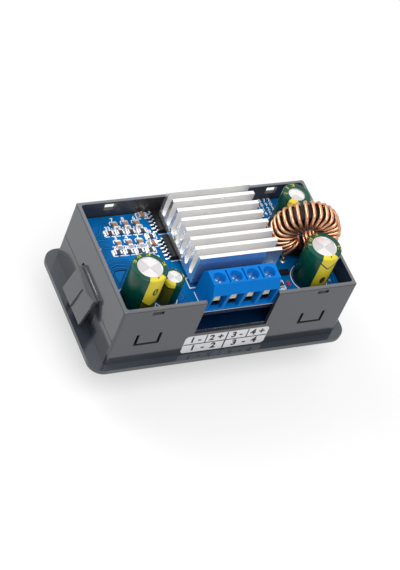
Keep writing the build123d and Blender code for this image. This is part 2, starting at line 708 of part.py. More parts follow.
# Power board, drilled for every lead that passes through it
pole_places = [(POLE_X + (pole - (POLES - 1) / 2) * POLE_PITCH) for pole in range(POLES)]
with BuildPart() as power_board:
    with BuildSketch(Plane.XY.offset(POWER_Z)):
        Rectangle(BOARD_L, BOARD_W)
        with Locations((0, HEADER_Y)):
            with GridLocations(HEADER_PITCH, 1, HEADER_PINS, 1):
                Rectangle(HEADER_PIN + 2 * HEADER_HOLE, HEADER_PIN + 2 * HEADER_HOLE, mode=Mode.SUBTRACT)
        with Locations(*[(x, PIN_Y) for x in pole_places]):
            Rectangle(PIN_W + 2 * PIN_HOLE, PIN_T + 2 * PIN_HOLE, mode=Mode.SUBTRACT)
        for can_d, can_h, can_x, can_in in CAPACITORS.values():
            with Locations((can_x, FRONT_Y + can_in)):
                with GridLocations(can_d * CAN_LEAD_PITCH, 1, 2, 1):
                    Circle(CAN_LEAD_D / 2 + LEAD_HOLE, mode=Mode.SUBTRACT)
        with Locations(*[(end.X, end.Y) for end in lead_ends]):
            Circle(WIRE_D / 2 + LEAD_HOLE, mode=Mode.SUBTRACT)
    extrude(amount=BOARD_T)
save(power_board, "power_board")

# Power transistors: bodies and bent leads
with BuildPart() as transistor_bodies:
    with BuildSketch(Plane.XY.offset(BOARD_TOP)):
        with Locations(*[(spot_x, REAR_Y - spot_in) for spot_x, spot_in in PACKAGE_SPOTS]):
            Rectangle(PACKAGE_W, PACKAGE_L)
    extrude(amount=PACKAGE_H)
save(transistor_bodies, "transistor_bodies")

with BuildPart() as transistor_leads:
    for spot_x, spot_in in PACKAGE_SPOTS:
        for side in (-1, 1):
            root = spot_x + side * PACKAGE_W / 2
            tip = root + side * LEAD_REACH
            knee = root + side * LEAD_REACH / 2
            level = BOARD_TOP + PACKAGE_H / 2
            for lead in range(LEADS_A_SIDE):
                lead_y = REAR_Y - spot_in + (lead - (LEADS_A_SIDE - 1) / 2) * LEAD_PITCH
                with BuildSketch(Plane.XZ.offset(-lead_y)):
                    with BuildLine():
                        Polyline(
                            (root, level),
                            (knee - side * LEAD_T, level),
                            (knee - side * LEAD_T, BOARD_TOP),
                            (tip, BOARD_TOP),
                            (tip, BOARD_TOP + LEAD_T),
                            (knee, BOARD_TOP + LEAD_T),
                            (knee, level + LEAD_T),
                            (root, level + LEAD_T),
                            close=True,
                        )
                    make_face()
                extrude(amount=LEAD_W / 2, both=True)
save(transistor_leads, "transistor_leads")

# Heatsink: one extrusion with tapered fins and round-bottomed slots, on a thermal pad
PAD_Z = BOARD_TOP + PACKAGE_H
SINK_Z = PAD_Z + PAD_T
FIN_PITCH = (SINK_W - FIN_TIP) / (FIN_COUNT - 1)
SLOT_TOP = FIN_PITCH - FIN_TIP
SLOT_R = (FIN_PITCH - FIN_ROOT) / 2
with BuildPart() as thermal_pad:
    with BuildSketch(Plane.XY.offset(PAD_Z)):
        with Locations((SINK_X, SINK_Y)):
            Rectangle(SINK_L - 1, SINK_W - 1)
    extrude(amount=PAD_T)
save(thermal_pad, "thermal_pad")

with BuildPart() as heatsink:
    with BuildSketch(Plane.YZ.offset(SINK_X - SINK_L / 2)):
        with Locations((SINK_Y, SINK_Z)):
            Rectangle(SINK_W, SINK_H, align=(Align.CENTER, Align.MIN))
        for slot in range(FIN_COUNT - 1):
            slot_y = SINK_Y + (slot - (FIN_COUNT - 2) / 2) * FIN_PITCH
            slot_z = SINK_Z + SINK_BASE + SLOT_R
            with BuildLine():
                Polyline(
                    (slot_y - SLOT_R, slot_z),
                    (slot_y + SLOT_R, slot_z),
                    (slot_y + SLOT_TOP / 2, SINK_Z + SINK_H),
                    (slot_y - SLOT_TOP / 2, SINK_Z + SINK_H),
                    close=True,
                )
            make_face(mode=Mode.SUBTRACT)
            with Locations((slot_y, slot_z)):
                Circle(SLOT_R, mode=Mode.SUBTRACT)
    extrude(amount=SINK_L)
save(heatsink, "heatsink")

# Electrolytic capacitors: a can with its leads, inside a shrunk sleeve whose lip shows the can's top
for name, (can_d, can_h, can_x, can_in) in CAPACITORS.items():
    can_y = FRONT_Y + can_in
    upright = Axis((can_x, can_y, 0), (0, 0, 1))
    axis_plane = Plane(origin=(can_x, can_y, BOARD_TOP), x_dir=(1, 0, 0), z_dir=(0, -1, 0))
    sleeve_r = can_d / 2
    can_r = sleeve_r - SLEEVE_T - SLEEVE_FIT
    can_top = can_h - SLEEVE_T - SLEEVE_FIT
    lip_r = sleeve_r * (1 - SLEEVE_LIP)
    with BuildPart() as can:
        with BuildSketch(axis_plane):
            with Locations((0, CAN_STANDOFF)):
                Rectangle(can_r, can_top - CAN_STANDOFF, align=Align.MIN)
            chamfer(vertices().group_by(Axis.Y)[-1].sort_by(Axis.X)[-1], SLEEVE_EDGE - SLEEVE_T)
        revolve(axis=upright)
        with BuildSketch(Plane.XY.offset(BOARD_TOP + can_top)):
            with Locations((can_x, can_y)):
                Circle(lip_r - CLEAR)
        extrude(amount=-CAN_DISH, mode=Mode.SUBTRACT)
        with BuildSketch(Plane.XY.offset(POWER_Z - LEAD_OUT)):
            with Locations((can_x, can_y)):
                with GridLocations(can_d * CAN_LEAD_PITCH, 1, 2, 1):
                    Circle(CAN_LEAD_D / 2)
        extrude(amount=BOARD_T + LEAD_OUT + 2 * CAN_STANDOFF)
    save(can, name)

    with BuildPart() as sleeve:
        with BuildSketch(axis_plane):
            with Locations((0, CAN_STANDOFF)):
                Rectangle(sleeve_r, can_h - CAN_STANDOFF, align=Align.MIN)
            fillet(vertices().group_by(Axis.Y)[-1].sort_by(Axis.X)[-1], SLEEVE_EDGE)
        revolve(axis=upright)
        with BuildSketch(axis_plane):
            with Locations((0, CAN_STANDOFF)):
                Rectangle(can_r + SLEEVE_FIT, can_top + SLEEVE_FIT - CAN_STANDOFF, align=Align.MIN)
            chamfer(vertices().group_by(Axis.Y)[-1].sort_by(Axis.X)[-1], SLEEVE_EDGE - SLEEVE_T)
            with Locations((0, CAN_STANDOFF)):
                Rectangle(lip_r, can_h, align=Align.MIN)
        revolve(axis=upright, mode=Mode.SUBTRACT)
    save(sleeve, name.replace("capacitor", "sleeve"))

# Screw terminal housing: one profile, with a mouth and a screw well for each pole
with BuildPart() as terminal_housing:
    with BuildSketch(Plane.YZ.offset(POLE_X - TERMINAL_L / 2)):
        with BuildLine():
            Polyline(
                (FRONT_Y + TERMINAL_FRONT, BOARD_TOP),
                (FRONT_Y + TERMINAL_NOSE, TERMINAL_NOSE_Z),
                (FRONT_Y + TERMINAL_TOP_FRONT, TERMINAL_TOP_Z),
                (FRONT_Y + TERMINAL_TOP_BACK, TERMINAL_TOP_Z),
                (FRONT_Y + TERMINAL_BACK, TERMINAL_BACK_Z),
                (FRONT_Y + TERMINAL_BACK, BOARD_TOP),
                close=True,
            )
        make_face()
    extrude(amount=TERMINAL_L)
    for pole_x in pole_places:
        with BuildSketch(Plane.XY.offset(BOARD_TOP + TERMINAL_FLOOR)):
            with Locations((pole_x, FRONT_Y + MOUTH_BACK)):
                Rectangle(MOUTH_W, MOUTH_BACK, align=(Align.CENTER, Align.MAX))
        extrude(amount=TERMINAL_NOSE_Z - BOARD_TOP - TERMINAL_FLOOR, mode=Mode.SUBTRACT)
        with BuildSketch(Plane.XY.offset(TERMINAL_TOP_Z)):
            with Locations((pole_x, WELL_Y)):
                Circle(WELL_D / 2)
        extrude(amount=-(TERMINAL_TOP_Z - TERMINAL_NOSE_Z - WELL_FLOOR), mode=Mode.SUBTRACT)
        with BuildSketch(Plane.XY.offset(TERMINAL_NOSE_Z)):
            with Locations((pole_x, WELL_Y)):
                Circle(SCREW_SHANK_D / 2 + SCREW_FIT)
        extrude(amount=WELL_FLOOR, mode=Mode.SUBTRACT)
        with BuildSketch(Plane.XY.offset(BOARD_TOP)):
            with Locations((pole_x, PIN_Y)):
                Rectangle(PIN_W + 2 * PIN_HOLE, PIN_T + 2 * PIN_HOLE)
        extrude(amount=TERMINAL_FLOOR, mode=Mode.SUBTRACT)
    with BuildSketch(Plane.XY.offset(TERMINAL_TOP_Z)):
        with Locations((POLE_X, FRONT_Y + (TERMINAL_TOP_FRONT + TERMINAL_TOP_BACK) / 2)):
            with GridLocations(POLE_PITCH, 1, POLES - 1, 1):
                Rectangle(GROOVE_W, GROOVE_L)
    extrude(amount=-GROOVE_D, mode=Mode.SUBTRACT)
save(terminal_housing, "terminal_housing")

# In each pole: a slotted screw, the cage that it raises, and the contact that the wire is pressed to
CAGE_Z = BOARD_TOP + TERMINAL_FLOOR + CLEAR
CONTACT_TOP = CAGE_Z + CAGE_H - CAGE_T - CONTACT_UNDER
for number, pole_x in enumerate(pole_places, start=1):
    with BuildPart() as screw:
        with BuildSketch(Plane.XY.offset(TERMINAL_NOSE_Z + WELL_FLOOR)):
            with Locations((pole_x, WELL_Y)):
                Circle(SCREW_HEAD_D / 2)
        extrude(amount=SCREW_HEAD_H)
        with BuildSketch(Plane.XY.offset(CONTACT_TOP + CLEAR)):
            with Locations((pole_x, WELL_Y)):
                Circle(SCREW_SHANK_D / 2)
        extrude(amount=TERMINAL_NOSE_Z + WELL_FLOOR - CONTACT_TOP - CLEAR)
        with BuildSketch(Plane.XY.offset(TERMINAL_NOSE_Z + WELL_FLOOR + SCREW_HEAD_H)):
            with Locations((pole_x, WELL_Y)):
                Rectangle(SCREW_HEAD_D, SCREW_SLOT_W, rotation=35)
        extrude(amount=-SCREW_SLOT_D, mode=Mode.SUBTRACT)
    save(screw, f"terminal_screw_{number}")

    with BuildPart() as cage:
        with BuildSketch(Plane.XZ.offset(-WELL_Y - CAGE_D / 2)):
            with Locations((pole_x, CAGE_Z + CAGE_H / 2)):
                Rectangle(CAGE_W, CAGE_H)
                Rectangle(CAGE_W - 2 * CAGE_SIDE, CAGE_H - 2 * CAGE_T, mode=Mode.SUBTRACT)
        extrude(amount=CAGE_D)
        with BuildSketch(Plane.XY.offset(CAGE_Z + CAGE_H)):
            with Locations((pole_x, WELL_Y)):
                Circle(SCREW_SHANK_D / 2 + SCREW_FIT)
        extrude(amount=-CAGE_T, mode=Mode.SUBTRACT)
    save(cage, f"wire_cage_{number}")

with BuildPart() as terminal_contacts:
    for pole_x in pole_places:
        with BuildSketch(Plane.XY.offset(CONTACT_TOP)):
            with Locations((pole_x, FRONT_Y + MOUTH_BACK - CLEAR / 2)):
                Rectangle(CONTACT_W, MOUTH_BACK - CONTACT_FRONT, align=(Align.CENTER, Align.MAX))
        extrude(amount=-CONTACT_T)
        with BuildSketch(Plane.XY.offset(CONTACT_TOP)):
            with Locations((pole_x, FRONT_Y + CONTACT_FRONT - CLEAR / 2)):
                Rectangle(TAB_W, TAB_T, align=(Align.CENTER, Align.MIN))
        extrude(amount=TAB_H)
        with BuildSketch(Plane.XY.offset(POWER_Z - PIN_OUT)):
            with Locations((pole_x, PIN_Y)):
                Rectangle(PIN_W, PIN_T)
        extrude(amount=CONTACT_TOP - POWER_Z + PIN_OUT)
save(terminal_contacts, "terminal_contacts")

# Chips: ceramic bodies, resistor bodies, and the plated ends of both
with BuildPart() as chip_capacitors:
    for chip_x, chip_in, chip_turn in CHIP_CAPS:
        with BuildSketch(Plane.XY.offset(BOARD_TOP)):
            with Locations((chip_x, REAR_Y - chip_in)):
                Rectangle(CHIP_L - 2 * CHIP_END, CHIP_W, rotation=chip_turn)
        extrude(amount=CHIP_CAP_H)
save(chip_capacitors, "chip_capacitors")

with BuildPart() as chip_resistors:
    for chip_x, chip_in, chip_turn in CHIP_RESISTORS:
        with BuildSketch(Plane.XY.offset(BOARD_TOP)):
            with Locations((chip_x, REAR_Y - chip_in)):
                Rectangle(CHIP_L - 2 * CHIP_END, CHIP_W, rotation=chip_turn)
        extrude(amount=CHIP_RES_H)
save(chip_resistors, "chip_resistors")

with BuildPart() as chip_ends:
    for spots, height in ((CHIP_CAPS, CHIP_CAP_H), (CHIP_RESISTORS, CHIP_RES_H)):
        for chip_x, chip_in, chip_turn in spots:
            chip_y = REAR_Y - chip_in
            along = (cos(radians(chip_turn)), sin(radians(chip_turn)))
            for side in (-1, 1):
                reach = side * (CHIP_L - CHIP_END) / 2
                with BuildSketch(Plane.XY.offset(BOARD_TOP)):
                    with Locations((chip_x + reach * along[0], chip_y + reach * along[1])):
                        Rectangle(CHIP_END, CHIP_W, rotation=chip_turn)
                extrude(amount=height)
save(chip_ends, "chip_ends")

with BuildPart() as small_transistor:
    with BuildSketch(Plane.XY.offset(BOARD_TOP)):
        with Locations((SMALL_PACKAGE_SPOT[0], REAR_Y - SMALL_PACKAGE_SPOT[1])):
            Rectangle(SMALL_PACKAGE[0], SMALL_PACKAGE[1])
    extrude(amount=SMALL_PACKAGE[2])
save(small_transistor, "small_transistor")

with BuildPart() as red_chip:
    with BuildSketch(Plane.XY.offset(BOARD_TOP)):
        with Locations((RED_CHIP_SPOT[0], REAR_Y - RED_CHIP_SPOT[1])):
            Rectangle(RED_CHIP[0], RED_CHIP[1])
    extrude(amount=RED_CHIP[2])
save(red_chip, "red_chip")

# Label in the drafted front wall's recess, below the notch
with BuildPart() as label:
    with BuildSketch(LABEL_FACE):
        with Locations((0, LABEL_Z)):
            RectangleRounded(LABEL_L, LABEL_H, LABEL_R, align=(Align.CENTER, Align.MIN))
    extrude(amount=LABEL_T)
save(label, "label")
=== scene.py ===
"""Looks of the panel-mount converter module: finishes, wire, solder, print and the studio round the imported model."""

import json
import math
import random

import bmesh
import bpy
from mathutils import Matrix, Vector

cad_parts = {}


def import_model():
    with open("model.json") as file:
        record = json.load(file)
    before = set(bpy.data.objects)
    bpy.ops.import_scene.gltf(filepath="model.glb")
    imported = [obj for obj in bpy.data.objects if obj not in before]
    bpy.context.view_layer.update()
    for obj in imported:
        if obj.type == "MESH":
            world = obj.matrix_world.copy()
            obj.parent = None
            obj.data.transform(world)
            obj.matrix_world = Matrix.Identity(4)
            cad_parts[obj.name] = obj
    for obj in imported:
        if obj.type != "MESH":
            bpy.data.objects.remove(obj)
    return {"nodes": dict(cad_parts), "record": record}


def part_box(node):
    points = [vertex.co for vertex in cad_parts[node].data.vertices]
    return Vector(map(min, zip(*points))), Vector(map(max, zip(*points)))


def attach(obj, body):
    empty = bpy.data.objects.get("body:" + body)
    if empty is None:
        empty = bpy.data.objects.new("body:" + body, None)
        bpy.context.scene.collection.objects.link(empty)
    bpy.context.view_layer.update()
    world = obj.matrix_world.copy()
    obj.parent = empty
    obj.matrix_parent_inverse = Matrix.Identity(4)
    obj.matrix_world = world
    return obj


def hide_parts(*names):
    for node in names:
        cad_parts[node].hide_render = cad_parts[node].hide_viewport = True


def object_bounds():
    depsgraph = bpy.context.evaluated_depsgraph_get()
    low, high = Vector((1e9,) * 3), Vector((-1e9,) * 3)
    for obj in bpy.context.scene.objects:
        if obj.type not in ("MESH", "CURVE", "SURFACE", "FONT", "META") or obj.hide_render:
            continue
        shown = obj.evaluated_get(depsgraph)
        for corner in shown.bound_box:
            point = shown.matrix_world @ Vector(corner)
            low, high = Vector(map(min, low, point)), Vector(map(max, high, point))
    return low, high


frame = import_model()
cad_box = [list(corner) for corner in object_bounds()]

MM = 0.001
UP = Vector((0, 0, 1))

# The photograph's camera, fitted to the case's corners
CAMERA_AZIMUTH = -40.09
CAMERA_ELEVATION = 46.37
CAMERA_ROLL = -24.23
CAMERA_DISTANCE = 594.71
CAMERA_ASIDE = -1.27
CAMERA_BELOW = 2.54
FOCAL_PIXELS = 2125.24
PHOTO_HEIGHT = 570
SENSOR = 36.0

# Levels of the power board, read from the model; how deep the foot of added work goes into what carries it, and how
# thick print lies
BOARD_LOW, BOARD_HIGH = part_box("power_board")
BOARD_TOP = BOARD_HIGH.z / MM
BOARD_UNDER = BOARD_LOW.z / MM
SINK_IN = 0.01
PRINT_T = 0.03
ON_BOARD = BOARD_TOP - SINK_IN
PRINT_TOP = BOARD_TOP + PRINT_T

# Where a finish changes on one solid: lines of bare laminate, and of a painted highlight on the rim, below a top edge;
# the room inside the case's walls, drawn darker as painted shade; the bright cut faces of the heatsink; and the heights
# above the board between which a sleeve darkens as painted shade
BARE_LINE = 0.2
RIM_HIGHLIGHT_LINE = 0.22
CASE_INSIDE_X = 35.0
CASE_INSIDE_Y = 19.0
CASE_INSIDE_Z = 0.5
CUT_FACE = 0.05
DULL_METAL = 0.45
BRIGHT_METAL = 0.93
DARK_BELOW = 1.0
CLEAR_ABOVE = 12.0

# The usual range of a noise, which is opened out to run from nought to one
NOISE_LOW = 0.3
NOISE_HIGH = 0.7

# A direction runs along an axis where more than this share of it does
MOSTLY = 0.5


def paint(red, green, blue):
    """A colour as it looks on screen, 0 to 255 a channel, as the linear values that a shader takes."""
    def linear(value):
        share = value / 255
        return share / 12.92 if share <= 0.04045 else ((share + 0.055) / 1.055) ** 2.4

    return tuple(linear(value) for value in (red, green, blue))


# Shader effects that several finishes share
def effect(name, inputs, outputs):
    """An empty node group with named number or colour sockets."""
    group = bpy.data.node_groups.new(name, "ShaderNodeTree")
    for label, kind, value in inputs:
        socket = group.interface.new_socket(name=label, in_out="INPUT", socket_type=kind)
        socket.default_value = value
    for label, kind in outputs:
        group.interface.new_socket(name=label, in_out="OUTPUT", socket_type=kind)
    entry = group.nodes.new("NodeGroupInput")
    leave = group.nodes.new("NodeGroupOutput")
    return group, entry, leave


def add_node(tree, kind, **settings):
    """Adds a node, with plain settings as attributes and socket values given by the socket's name."""
    node = tree.nodes.new(kind)
    for key, value in settings.items():
        if hasattr(node, key):
            setattr(node, key, value)
        else:
            node.inputs[key.replace("_", " ")].default_value = value
    return node


def grain_effect():
    """Fine spark-eroded grain of a mould, with softer blotches in it."""
    group, entry, leave = effect(
        "mould_grain",
        [("Scale", "NodeSocketFloat", 3000.0), ("Blotch", "NodeSocketFloat", 90.0)],
        [("Height", "NodeSocketFloat"), ("Shade", "NodeSocketFloat")],
    )
    place = add_node(group, "ShaderNodeTexCoord")
    fine = add_node(group, "ShaderNodeTexNoise", Detail=2.0, Roughness=0.6)
    broad = add_node(group, "ShaderNodeTexNoise", Detail=3.0, Roughness=0.55)
    for noise, socket in ((fine, "Scale"), (broad, "Blotch")):
        group.links.new(place.outputs["Object"], noise.inputs["Vector"])
        group.links.new(entry.outputs[socket], noise.inputs["Scale"])
    group.links.new(fine.outputs["Fac"], leave.inputs["Height"])
    group.links.new(broad.outputs["Fac"], leave.inputs["Shade"])
    return group


def drawn_effect():
    """Long fine lines along X, as an extrusion or a drawn sheet has."""
    group, entry, leave = effect(
        "drawn_lines",
        [("Across", "NodeSocketFloat", 5000.0), ("Along", "NodeSocketFloat", 60.0)],
        [("Height", "NodeSocketFloat"), ("Shade", "NodeSocketFloat")],
    )
    place = add_node(group, "ShaderNodeTexCoord")
    parts = add_node(group, "ShaderNodeSeparateXYZ")
    group.links.new(place.outputs["Object"], parts.inputs[0])
    joined = add_node(group, "ShaderNodeCombineXYZ")
    for axis, socket in (("X", "Along"), ("Y", "Across"), ("Z", "Across")):
        scaled = add_node(group, "ShaderNodeMath", operation="MULTIPLY")
        group.links.new(parts.outputs[axis], scaled.inputs[0])
        group.links.new(entry.outputs[socket], scaled.inputs[1])
        group.links.new(scaled.outputs[0], joined.inputs[axis])
    noise = add_node(group, "ShaderNodeTexNoise", Scale=1.0, Detail=4.0, Roughness=0.65)
    group.links.new(joined.outputs[0], noise.inputs["Vector"])
    blotch = add_node(group, "ShaderNodeTexNoise", Scale=140.0, Detail=2.0)
    group.links.new(place.outputs["Object"], blotch.inputs["Vector"])
    group.links.new(noise.outputs["Fac"], leave.inputs["Height"])
    group.links.new(blotch.outputs["Fac"], leave.inputs["Shade"])
    return group


def stretched(group, shade):
    """Opens a noise's usual range out, to run between the node's two end values."""
    stretch = add_node(group, "ShaderNodeMapRange", From_Min=NOISE_LOW, From_Max=NOISE_HIGH)
    group.links.new(shade, stretch.inputs["Value"])
    return stretch


def between_effect():
    """A colour between two, by a shade that is stretched from its middle."""
    group, entry, leave = effect(
        "between",
        [("Low", "NodeSocketColor", (0, 0, 0, 1)), ("High", "NodeSocketColor", (1, 1, 1, 1)),
         ("Shade", "NodeSocketFloat", 0.5)],
        [("Colour", "NodeSocketColor")],
    )
    stretch = stretched(group, entry.outputs["Shade"])
    mix = add_node(group, "ShaderNodeMix", data_type="RGBA")
    group.links.new(stretch.outputs[0], mix.inputs["Factor"])
    group.links.new(entry.outputs["Low"], mix.inputs["A"])
    group.links.new(entry.outputs["High"], mix.inputs["B"])
    group.links.new(mix.outputs["Result"], leave.inputs["Colour"])
    return group


def gloss_effect():
    """A roughness between two values, by a shade that is stretched from its middle."""
    group, entry, leave = effect(
        "worn_gloss",
        [("Smooth", "NodeSocketFloat", 0.3), ("Rough", "NodeSocketFloat", 0.5), ("Shade", "NodeSocketFloat", 0.5)],
        [("Roughness", "NodeSocketFloat")],
    )
    stretch = stretched(group, entry.outputs["Shade"])
    group.links.new(entry.outputs["Smooth"], stretch.inputs["To Min"])
    group.links.new(entry.outputs["Rough"], stretch.inputs["To Max"])
    group.links.new(stretch.outputs[0], leave.inputs["Roughness"])
    return group


GRAIN = grain_effect()
DRAWN = drawn_effect()
BETWEEN = between_effect()
GLOSS = gloss_effect()


class Finish:
    """A material while it is made: its tree, its shader and the surface pattern that drives both."""

    def __init__(self, name, colour, roughness, metallic=0.0, **sockets):
        self.material = bpy.data.materials.new(name)
        self.material.use_nodes = True
        self.tree = self.material.node_tree
        self.shader = self.tree.nodes["Principled BSDF"]
        self.put("Base Color", (*colour, 1))
        self.put("Roughness", roughness)
        self.put("Metallic", metallic)
        for socket, value in sockets.items():
            self.put(socket.replace("_", " "), value)

    def put(self, socket, value):
        """Gives a socket of the shader one value for the whole surface."""
        self.shader.inputs[socket].default_value = value

    def join(self, start, end):
        """Leads what comes out of one socket into another."""
        self.tree.links.new(start, end)

    def place_effect(self, group, **values):
        """Sets a shared effect into this material, with its own values."""
        node = self.tree.nodes.new("ShaderNodeGroup")
        node.node_tree = group
        for label, value in values.items():
            node.inputs[label].default_value = value
        return node

    def pattern(self, group, depth, low, high, smooth, rough, strength=0.4, **values):
        """Drives colour, roughness and bump by one pattern; depth is the bump's height in millimetres."""
        source = self.place_effect(group, **values)
        colour = self.place_effect(BETWEEN, Low=(*low, 1), High=(*high, 1))
        self.join(source.outputs["Shade"], colour.inputs["Shade"])
        self.join(colour.outputs["Colour"], self.shader.inputs["Base Color"])
        gloss = self.place_effect(GLOSS, Smooth=smooth, Rough=rough)
        self.join(source.outputs["Shade"], gloss.inputs["Shade"])
        self.join(gloss.outputs["Roughness"], self.shader.inputs["Roughness"])
        bump = add_node(self.tree, "ShaderNodeBump", Strength=strength, Distance=depth * MM)
        self.join(source.outputs["Height"], bump.inputs["Height"])
        self.join(bump.outputs["Normal"], self.shader.inputs["Normal"])

    def axes(self, output="Object"):
        """X, Y and Z of the place on the object, in metres, or with Normal those of the way it faces."""
        place = add_node(self.tree, "ShaderNodeTexCoord")
        parts = add_node(self.tree, "ShaderNodeSeparateXYZ")
        self.join(place.outputs[output], parts.inputs[0])
        return parts.outputs

    def compare(self, start, operation, limit, value_is=None):
        """One where a value passes a test against a limit, else nought; value_is may turn the value first."""
        if value_is:
            turned = add_node(self.tree, "ShaderNodeMath", operation=value_is)
            self.join(start, turned.inputs[0])
            start = turned.outputs[0]
        test = add_node(self.tree, "ShaderNodeMath", operation=operation)
        test.inputs[1].default_value = limit
        self.join(start, test.inputs[0])
        return test.outputs[0]

    def combine(self, operation, first, second):
        """One mask from two: their product is where both hold, their maximum where either does."""
        joined = add_node(self.tree, "ShaderNodeMath", operation=operation)
        self.join(first, joined.inputs[0])
        self.join(second, joined.inputs[1])
        return joined.outputs[0]

    def ramp(self, start, low, high, **reach):
        """A value led into the range from low to high; reach says which range it comes from, if not 0 to 1."""
        node = add_node(self.tree, "ShaderNodeMapRange", To_Min=low, To_Max=high, **reach)
        self.join(start, node.inputs["Value"])
        return node.outputs[0]

    def blend(self, socket, mask, other):
        """Leads a socket's present source through a mix with another value, by a mask."""
        present = self.shader.inputs[socket].links[0].from_socket
        colour = isinstance(other, tuple)
        mix = add_node(self.tree, "ShaderNodeMix", data_type="RGBA" if colour else "FLOAT")
        a, b = [s for s in mix.inputs if s.enabled and s.name in ("A", "B")]
        b.default_value = (*other, 1) if colour else other
        factor = next(s for s in mix.inputs if s.enabled and s.name == "Factor")
        self.join(mask, factor)
        self.join(present, a)
        self.join(next(s for s in mix.outputs if s.enabled), self.shader.inputs[socket])


def scaled(colour, factor):
    """A colour made lighter or darker."""
    return tuple(min(1.0, channel * factor) for channel in colour)


def moulded(name, colour, smooth, rough, grain=2600.0, depth=0.02, spread=0.10, blotch=90.0, **sockets):
    """A moulded plastic with its fine grain, slight blotches and uneven gloss."""
    finish = Finish(name, colour, rough, **sockets)
    finish.pattern(GRAIN, depth, scaled(colour, 1 - spread), scaled(colour, 1 + spread), smooth, rough,
                   Scale=grain, Blotch=blotch)
    return finish.material


def metal(name, colour, smooth, rough, depth=0.01, spread=0.06, group=GRAIN, metallic=1.0, **values):
    """A bare or plated metal, with lines or grain and uneven polish; a dull film on it lowers metallic."""
    finish = Finish(name, colour, rough, metallic=metallic)
    finish.pattern(group, depth, scaled(colour, 1 - spread), scaled(colour, 1 + spread), smooth, rough, **values)
    return finish.material


def case_finish():
    """Dark grey satin moulding of the case, duller on the faces round the boards and darker there as painted shade,
    with a painted highlight at its rim.
    """
    base = paint(54, 59, 67)
    finish = Finish("case_moulding", base, 0.14, Specular_IOR_Level=0.8)
    finish.pattern(GRAIN, 0.006, scaled(base, 0.95), scaled(base, 1.05), 0.10, 0.17, Scale=2400.0, Blotch=90.0)
    place = finish.axes()
    inside = finish.compare(place["Z"], "GREATER_THAN", CASE_INSIDE_Z * MM)
    for axis, reach in (("X", CASE_INSIDE_X), ("Y", CASE_INSIDE_Y)):
        within = finish.compare(place[axis], "LESS_THAN", reach * MM, "ABSOLUTE")
        inside = finish.combine("MULTIPLY", inside, within)
    # Painted shade: the faces inside the walls, round the boards, drawn darker
    finish.blend("Base Color", inside, paint(50, 46, 47))
    finish.blend("Roughness", inside, 0.34)
    # Painted highlight: a paler band at the top of the case's walls
    rim = finish.compare(place["Z"], "GREATER_THAN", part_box("case")[1].z - RIM_HIGHLIGHT_LINE * MM)
    finish.blend("Base Color", rim, paint(104, 106, 110))
    return finish.material


def board_finish():
    """Blue solder mask over copper; at the sawn edges a dark painted shade, with a thin line of bare laminate at the
    top.
    """
    finish = Finish("board_mask", paint(0, 88, 158), 0.4, Specular_IOR_Level=0.07)
    finish.pattern(GRAIN, 0.012, paint(0, 84, 140), paint(0, 106, 174), 0.30, 0.45, Scale=1500.0, Blotch=160.0)
    sawn = finish.compare(finish.axes("Normal")["Z"], "LESS_THAN", MOSTLY, "ABSOLUTE")
    near_top = finish.compare(finish.axes()["Z"], "GREATER_THAN", (BOARD_TOP - BARE_LINE) * MM)
    # Painted shade: the sawn edges drawn dark, below the laminate's own pale line
    finish.blend("Base Color", sawn, paint(0, 26, 56))
    finish.blend("Base Color", finish.combine("MULTIPLY", sawn, near_top), paint(228, 222, 202))
    return finish.material


def sink_finish():
    """Extruded aluminium: drawn faces dull and pale, the planed front and the sawn left end bright."""
    finish = Finish("extruded_aluminium", paint(250, 249, 248), 0.25)
    finish.pattern(DRAWN, 0.002, paint(246, 245, 244), paint(254, 253, 252), 0.16, 0.28)
    low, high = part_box("heatsink")
    place = finish.axes()
    cut = finish.combine("MAXIMUM", finish.compare(place["Y"], "LESS_THAN", low.y + CUT_FACE * MM),
                         finish.compare(place["X"], "LESS_THAN", low.x + CUT_FACE * MM))
    finish.join(finish.ramp(cut, DULL_METAL, BRIGHT_METAL), finish.shader.inputs["Metallic"])
    return finish.material


def pane_finish():
    """Smoke-tinted clear pane."""
    finish = Finish("window_pane", paint(120, 126, 130), 0.04, IOR=1.49, Transmission_Weight=1.0)
    source = finish.place_effect(GRAIN, Scale=500.0, Blotch=60.0)
    gloss = finish.place_effect(GLOSS, Smooth=0.02, Rough=0.07)
    finish.join(source.outputs["Shade"], gloss.inputs["Shade"])
    finish.join(gloss.outputs["Roughness"], finish.shader.inputs["Roughness"])
    return finish.material


def wire_finish():
    """Copper under thin clear enamel, paler where the light catches it."""
    finish = Finish("copper_wire", paint(228, 164, 126), 0.2, metallic=1.0)
    finish.pattern(GRAIN, 0.001, paint(232, 170, 132), paint(246, 192, 156), 0.26, 0.34, Scale=800.0, Blotch=200.0)
    return finish.material


def sleeve_finish():
    """Dark green shrunk film, a little wavy, with painted shade towards the foot."""
    finish = Finish("sleeve_film", paint(6, 88, 70), 0.3, Specular_IOR_Level=0.3)
    finish.pattern(GRAIN, 0.02, paint(3, 64, 50), paint(6, 84, 65), 0.18, 0.30, strength=0.2,
                   Scale=420.0, Blotch=200.0)
    deepen(finish, paint(2, 30, 31))
    return finish.material


def stripe_finish(name, colour, dark):
    """Printed stripe on a sleeve, with painted shade deepening towards the foot."""
    finish = Finish(name, colour, 0.35, Specular_IOR_Level=0.3)
    finish.pattern(GRAIN, 0.006, scaled(colour, 0.93), scaled(colour, 1.07), 0.3, 0.4, Scale=900.0, Blotch=90.0)
    deepen(finish, dark, share=0.9)
    return finish.material


def deepen(finish, dark, share=0.85):
    """Darkens a sleeve's finish towards the foot of the can, where little light comes."""
    low = finish.ramp(finish.axes()["Z"], share, 0.0, From_Min=(BOARD_TOP + DARK_BELOW) * MM,
                      From_Max=(BOARD_TOP + CLEAR_ABOVE) * MM)
    finish.blend("Base Color", low, dark)


def display_finish():
    """Dark grey-green display glass."""
    return moulded("display_glass", paint(74, 84, 78), 0.06, 0.12, grain=900.0, depth=0.002, spread=0.04)


